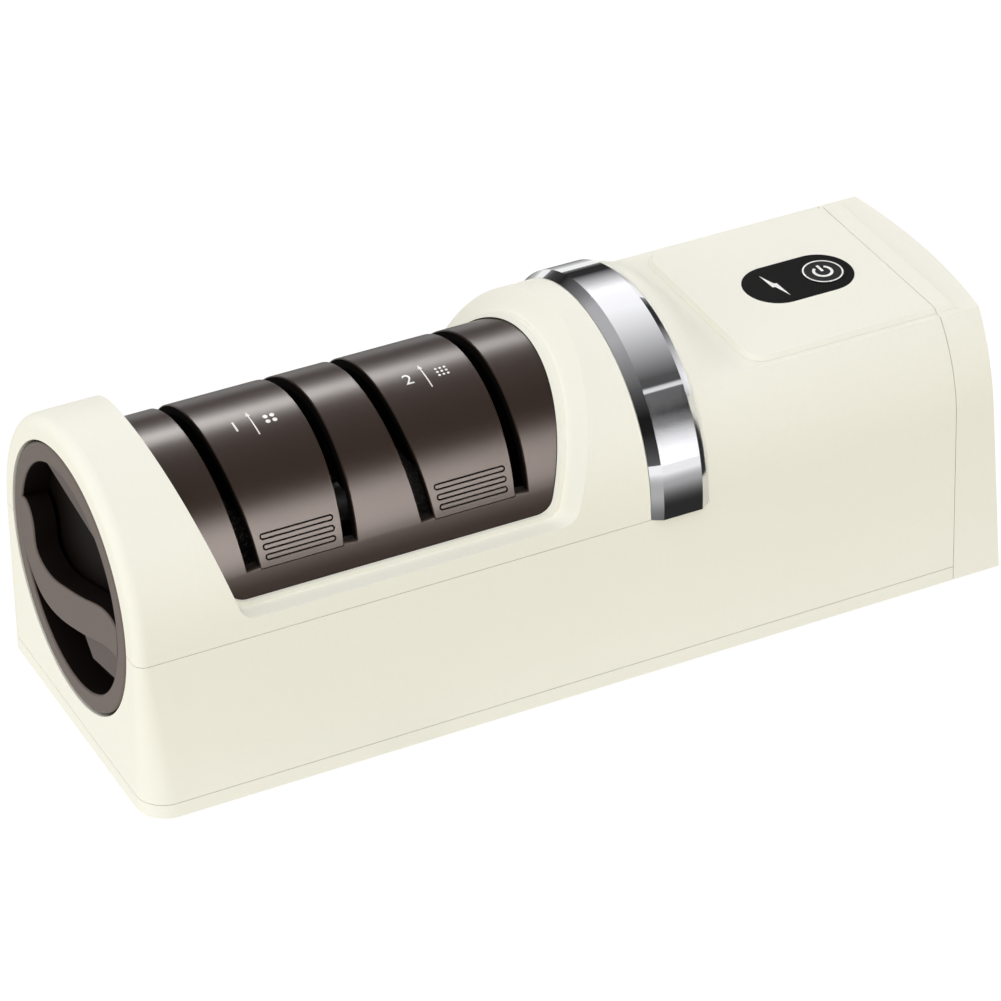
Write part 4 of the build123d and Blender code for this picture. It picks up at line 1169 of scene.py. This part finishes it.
@dataclass
class ControlWindow(SubAssembly):
    """The glossy window on the deck, with the power button and the charging symbol."""

    print_thickness: float = 0.1 * MM
    ring_radius: float = 5.3 * MM  # outside of the ring printed on the button
    ring_line: float = 0.42 * MM
    ring_steps: int = 96
    symbol_radius: float = 2.35 * MM
    symbol_line: float = 0.75 * MM
    symbol_gap: float = math.radians(32.0)  # half the opening at the symbol's top
    symbol_steps: int = 72
    bar_top: float = 3.0 * MM
    bar_foot: float = 0.1 * MM
    bolt_outline: tuple[tuple[float, float], ...] = (
        (-1.25 * MM, 5.5 * MM),
        (-0.85 * MM, -0.7 * MM),
        (-0.1 * MM, -0.9 * MM),
        (1.35 * MM, -6.0 * MM),
        (1.05 * MM, 0.5 * MM),
        (0.3 * MM, 0.7 * MM),
    )

    def build(self) -> None:
        """Finish the window."""
        self.coat(Finishes.lens, "control_lens")
        self.coat(Finishes.button, "power_button")
        self.coat(Finishes.clear, "light_pipe")
        low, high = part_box("power_button")
        centre = Vector(((low.x + high.x) / 2, 0.0, high.z))
        middle_line = self.ring_radius - self.ring_line / 2
        ring = flat_ring("button_ring", middle_line, self.ring_line, self.ring_steps)
        self.lay(ring, centre, Body.BUTTON)
        self.lay(self.power_symbol(), centre, Body.BUTTON)
        pipe_low, pipe_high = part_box("light_pipe")
        _, lens_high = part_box("control_lens")
        place = Vector(((pipe_low.x + pipe_high.x) / 2, 0.0, lens_high.z))
        self.lay(flat_outline("charge_symbol", self.bolt_outline), place, Body.HOUSING)

    def power_symbol(self) -> bpy.types.Object:
        """Make the broken ring with its bar.

        Returns:
            The flat symbol.
        """
        ring = flat_ring(
            "power_symbol_ring", self.symbol_radius, self.symbol_line, self.symbol_steps
        )
        drop_vertices(ring, lambda point: abs(math.atan2(point.x, point.y)) < self.symbol_gap)
        half = self.symbol_line / 2
        corners = [
            (-half, self.bar_foot),
            (half, self.bar_foot),
            (half, self.bar_top),
            (-half, self.bar_top),
        ]
        return join([ring, flat_outline("power_symbol_bar", corners)], "power_symbol")

    def lay(self, piece: bpy.types.Object, place: Vector, body: Body) -> None:
        """Give a flat symbol its thickness and lay it on the window.

        Args:
            piece: The symbol, flat about the origin.
            place: Where its middle goes.
            body: The body that carries it.
        """
        thicken(piece, self.print_thickness)
        piece.location = place
        finish_print(settle(piece), body)


@dataclass
class Works(SubAssembly):
    """What the casing holds: battery, boards, motor, chamber and wheels."""

    def build(self) -> None:
        """Finish the works."""
        self.coat(Finishes.board, "circuit_board", "charge_board")
        self.coat(Finishes.black, "board_components", "tact_switch", "battery_holder")
        self.coat(Finishes.black, "chamber_liner", "lock_ring", "motor_bracket")
        self.coat(Finishes.black, "motor_end_bell", "wheel_hubs")
        self.coat(Finishes.charcoal, "switch_plunger", "drive_dog", "spindle_dog")
        self.coat(Finishes.charcoal, "spindle_spacers")
        self.coat(Finishes.steel, "board_screws", "motor_screws", "charging_socket")
        self.coat(Finishes.steel, "motor_shaft", "spindle_shaft")
        self.coat(Finishes.can, "motor_can")
        self.coat(Finishes.wrap, "battery_cells")
        self.coat(Finishes.brass, "battery_contacts")
        self.coat(Finishes.copper, "commutator")
        self.coat(Finishes.magnet, "stator_magnets")
        self.coat(Finishes.carbon, "motor_brushes")
        self.coat(Finishes.iron, "armature")
        self.coat(Finishes.coarse, "coarse_wheels")
        self.coat(Finishes.fine, "fine_wheels")


# ---------------------------------------------------------------- studio


@dataclass(frozen=True)
class Camera:
    """The camera, placed from the knob's face."""

    offset: tuple[float, float, float] = (-0.350026, -0.902877, 0.722319)
    yaw: float = math.radians(27.39)
    pitch: float = math.radians(34.16)
    roll: float = math.radians(0.19)
    lens: float = 174.75  # millimetres
    sensor: float = 36.0  # millimetres
    nearest: float = 0.01
    furthest: float = 100.0

    def build(self) -> None:
        """Add the camera."""
        data = bpy.data.cameras.new("camera")
        data.lens = self.lens
        data.sensor_width = self.sensor
        data.clip_start = self.nearest
        data.clip_end = self.furthest
        camera = bpy.data.objects.new("camera", data)
        turn = (
            Matrix.Rotation(-self.yaw, 4, "Z")
            @ Matrix.Rotation(math.pi / 2 - self.pitch, 4, "X")
            @ Matrix.Rotation(self.roll, 4, "Z")
        )
        face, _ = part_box("knob")
        place = Vector(self.offset) + Vector((face.x, 0.0, 0.0))
        camera.matrix_world = Matrix.Translation(place) @ turn
        bpy.context.scene.collection.objects.link(camera)
        bpy.context.scene.camera = camera


@dataclass(frozen=True)
class Floor:
    """The pale floor, which the camera sees as white and which keeps a faint shadow."""

    side: float = 30.0
    tint: Colour = (0.82, 0.78, 0.64, 1.0)
    mottle: float = 0.015
    mottle_scale: float = 6.0
    white: float = 1.06  # brightness to the camera
    white_share: float = 0.9  # the rest shows the shadow
    through_level: float = 0.7  # brightness through clear pieces
    near_gloss: float = 0.5  # what gloss sees before the knob
    card_depth: float = 0.47  # how much darker gloss sees it beside the sharpener
    past_card: float = 0.4  # how much of that comes back past the card
    far_gloss: float = 0.6  # how much brighter gloss sees it far away
    card_edge: tuple[float, float] = (0.12, 0.26)  # fade of the dark card, across
    card_front: tuple[float, float] = (-0.05, 0.01)  # fade at the card's end, towards the knob
    far_fade: tuple[float, float] = (0.22, 0.6)
    glow: float = 1.1  # light that the floor sends up beside the sharpener
    glow_share: float = 0.5
    glow_fade: tuple[float, float] = (0.06, 0.16)

    def build(self) -> None:
        """Add the floor."""
        deselect()
        bpy.ops.mesh.primitive_plane_add(size=self.side)
        floor = name_new("floor")
        floor.data.materials.append(self.material())

    def material(self) -> bpy.types.Material:
        """Make the floor's material.

        Returns:
            The material.
        """
        material = bpy.data.materials.new("floor_white")
        material.use_nodes = True
        canvas = Canvas(material.node_tree)
        seen, glossy, through, matt_ray = canvas.rays(
            "Is Camera Ray", "Is Glossy Ray", "Is Transmission Ray", "Is Diffuse Ray"
        )
        along, across, _ = canvas.axes()
        away = (across * across).root()
        # Gloss sees the floor dark beside the sharpener and white further off, as under a card.
        card = self.card_depth - self.past_card * away.ramp(*self.card_edge)
        level = self.near_gloss - card * along.ramp(*self.card_front)
        level = level + self.far_gloss * away.ramp(*self.far_fade)
        white = self.white * seen + glossy * level + self.through_level * through
        light = {"Color": WHITE, "Strength": white + self.glow * matt_ray}
        glow = canvas.node("ShaderNodeEmission", inputs=light)
        lit = self.glow_share * matt_ray * (1 - away.ramp(*self.glow_fade))
        share = self.white_share * seen + glossy + self.through_level * through + lit
        mottle = canvas.noise(self.mottle_scale)
        tint = canvas.mix(mottle, shade(self.tint, 1 - self.mottle), self.tint)
        matt = canvas.node("ShaderNodeBsdfDiffuse", inputs={"Color": tint})
        mixed = canvas.node(
            "ShaderNodeMixShader", inputs={0: share, 1: matt.outputs[0], 2: glow.outputs[0]}
        )
        canvas.node("ShaderNodeOutputMaterial", inputs={"Surface": mixed.outputs[0]})
        return material


@dataclass(frozen=True)
class Strip:
    """A narrow bright lamp along X that only gloss shows."""

    place: float  # angle round X, from the user's side over the top, 0 to 1
    half: float
    fade: float
    brightness: float


@dataclass(frozen=True)
class Room:
    """The even light of the room, with soft boxes and strip lamps that only gloss shows."""

    matt_level: float = 0.8  # brightness of the room for matt surfaces
    blue: float = 1.01  # blue of the boxes' light over its red and green
    strips: tuple[Strip, ...] = (
        Strip(0.778, 0.018, 0.035, 27.0),
        Strip(0.145, 0.065, 0.1, 30.0),
    )
    strip_start: tuple[float, float] = (0.05, 0.15)  # X of the direction where the strips start
    strip_end: tuple[float, float] = (0.388, 0.396)
    near_side: tuple[float, float] = (-0.05, 0.2)  # fade from the end boxes to the side boxes
    # The boxes are places round X, 0 to 1 from the user's side over the top, and brightness.
    side_boxes: tuple[tuple[float, float], ...] = (
        (0.0, 1.25),
        (0.06, 1.2),
        (0.105, 0.78),
        (0.15, 0.2),
        (0.195, 0.015),
        (0.24, 0.1),
        (0.278, 0.13),
        (0.282, 0.95),
        (0.293, 0.75),
        (0.301, 0.09),
        (0.331, 0.1),
        (0.376, 0.24),
        (0.422, 0.4),
        (0.467, 0.56),
        (0.512, 0.72),
        (0.557, 0.88),
        (0.648, 1.15),
        (0.78, 1.25),
        (0.828, 0.74),
        (0.872, 0.37),
        (0.917, 0.035),
        (0.97, 0.03),
        (1.0, 0.3),
    )
    end_boxes: tuple[tuple[float, float], ...] = (
        (0.0, 0.12),
        (0.075, 0.05),
        (0.13, 0.016),
        (0.192, 0.012),
        (0.25, 0.05),
        (0.31, 0.11),
        (0.422, 0.3),
        (0.523, 0.49),
        (0.613, 0.52),
        (0.693, 0.5),
        (0.765, 0.24),
        (0.832, 0.12),
        (0.893, 0.02),
        (0.952, 0.06),
        (1.0, 0.2),
    )

    def build(self) -> None:
        """Light the room."""
        world = bpy.data.worlds.new("room")
        bpy.context.scene.world = world
        world.use_nodes = True
        canvas = Canvas(world.node_tree)
        along, across, up = canvas.axes("Generated")
        # Round the X axis: 0 on the user's side, 0.5 overhead and 1 on the far side.
        angle = up.angle_over(0 - across) / math.pi
        boxes = canvas.mix(
            along.ramp(*self.near_side),
            self.ring_of_boxes(canvas, angle, self.end_boxes),
            self.ring_of_boxes(canvas, angle, self.side_boxes),
        )
        glare = self.strip_light(canvas, angle, along)
        glossy, seen = canvas.rays("Is Glossy Ray", "Is Camera Ray")
        plain = canvas.mix(seen, shade(WHITE, self.matt_level), WHITE)
        colour = canvas.mix(glossy, plain, canvas.mix(1.0, boxes, glare, "ADD"))
        light = {"Color": colour, "Strength": 1.0}
        backdrop = canvas.node("ShaderNodeBackground", inputs=light)
        canvas.node("ShaderNodeOutputWorld", inputs={"Surface": backdrop.outputs[0]})

    def ring_of_boxes(
        self, canvas: Canvas, angle: Value, boxes: Sequence[tuple[float, float]]
    ) -> bpy.types.NodeSocket:
        """Give the brightness of the soft boxes round the X axis.

        Args:
            canvas: The room's node tree.
            angle: The angle of the direction looked in.
            boxes: Places and their brightness.

        Returns:
            The colour socket.
        """
        stops = [(place, (level, level, level * self.blue, 1.0)) for place, level in boxes]
        ramp = canvas.node("ShaderNodeValToRGB", {"stops": stops}, {"Fac": angle})
        return ramp.outputs["Color"]

    def strip_light(self, canvas: Canvas, angle: Value, along: Value) -> bpy.types.NodeSocket:
        """Give the brightness of the strip lamps.

        Args:
            canvas: The room's node tree.
            angle: The angle of the direction looked in.
            along: The direction's X.

        Returns:
            The colour socket.
        """
        reached = along.ramp(*self.strip_start) - along.ramp(*self.strip_end)
        light = reached * sum(
            angle.peak(strip.place, strip.half, strip.fade) * strip.brightness
            for strip in self.strips
        )
        white = canvas.node("ShaderNodeCombineColor", inputs={0: light, 1: light, 2: light})
        return white.outputs["Color"]


@dataclass(frozen=True)
class Lamp:
    """A soft square lamp that faces the sharpener and that gloss doesn't show."""

    name: str
    watts: float
    place: tuple[float, float, float]
    tint: tuple[float, float, float] = (1.0, 1.0, 1.0)
    side: float = 1.1
    aim: tuple[float, float, float] = (0.0, 0.0, 0.04)

    def build(self) -> None:
        """Hang the lamp."""
        data = bpy.data.lights.new(self.name, "AREA")
        data.energy = self.watts
        data.color = self.tint
        data.size = self.side
        lamp = bpy.data.objects.new(self.name, data)
        ray = Vector(self.aim) - Vector(self.place)
        lamp.location = self.place
        lamp.rotation_mode = "QUATERNION"
        lamp.rotation_quaternion = ray.to_track_quat("-Z", "Y")
        lamp.visible_glossy = False
        bpy.context.scene.collection.objects.link(lamp)


@dataclass(frozen=True)
class Studio:
    """The camera, the floor, the room and its lamps."""

    camera: Camera = Camera()
    floor: Floor = Floor()
    room: Room = Room()
    key: Lamp = Lamp("key", 3.5, (-0.45, -0.35, 1.5))
    fill: Lamp = Lamp("fill", 7.0, (-1.6, -0.45, 0.35), tint=(0.93, 0.96, 1.0))

    def build(self) -> None:
        """Set up the studio."""
        for thing in (self.camera, self.floor, self.room, self.key, self.fill):
            thing.build()
            log.info("set up the %s", type(thing).__name__.lower())
        bpy.context.scene.view_settings.view_transform = "Standard"


def main() -> None:
    """Dress the sharpener and set up the studio."""
    logging.basicConfig(level=logging.INFO, format="%(message)s")
    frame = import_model()
    nodes = frame["nodes"]
    for part in (Shells(nodes), Drum(nodes), Knob(nodes), ControlWindow(nodes), Works(nodes)):
        log.info("building %s", type(part).__name__)
        part.build()
    Studio().build()


if __name__ == "__main__":
    main()
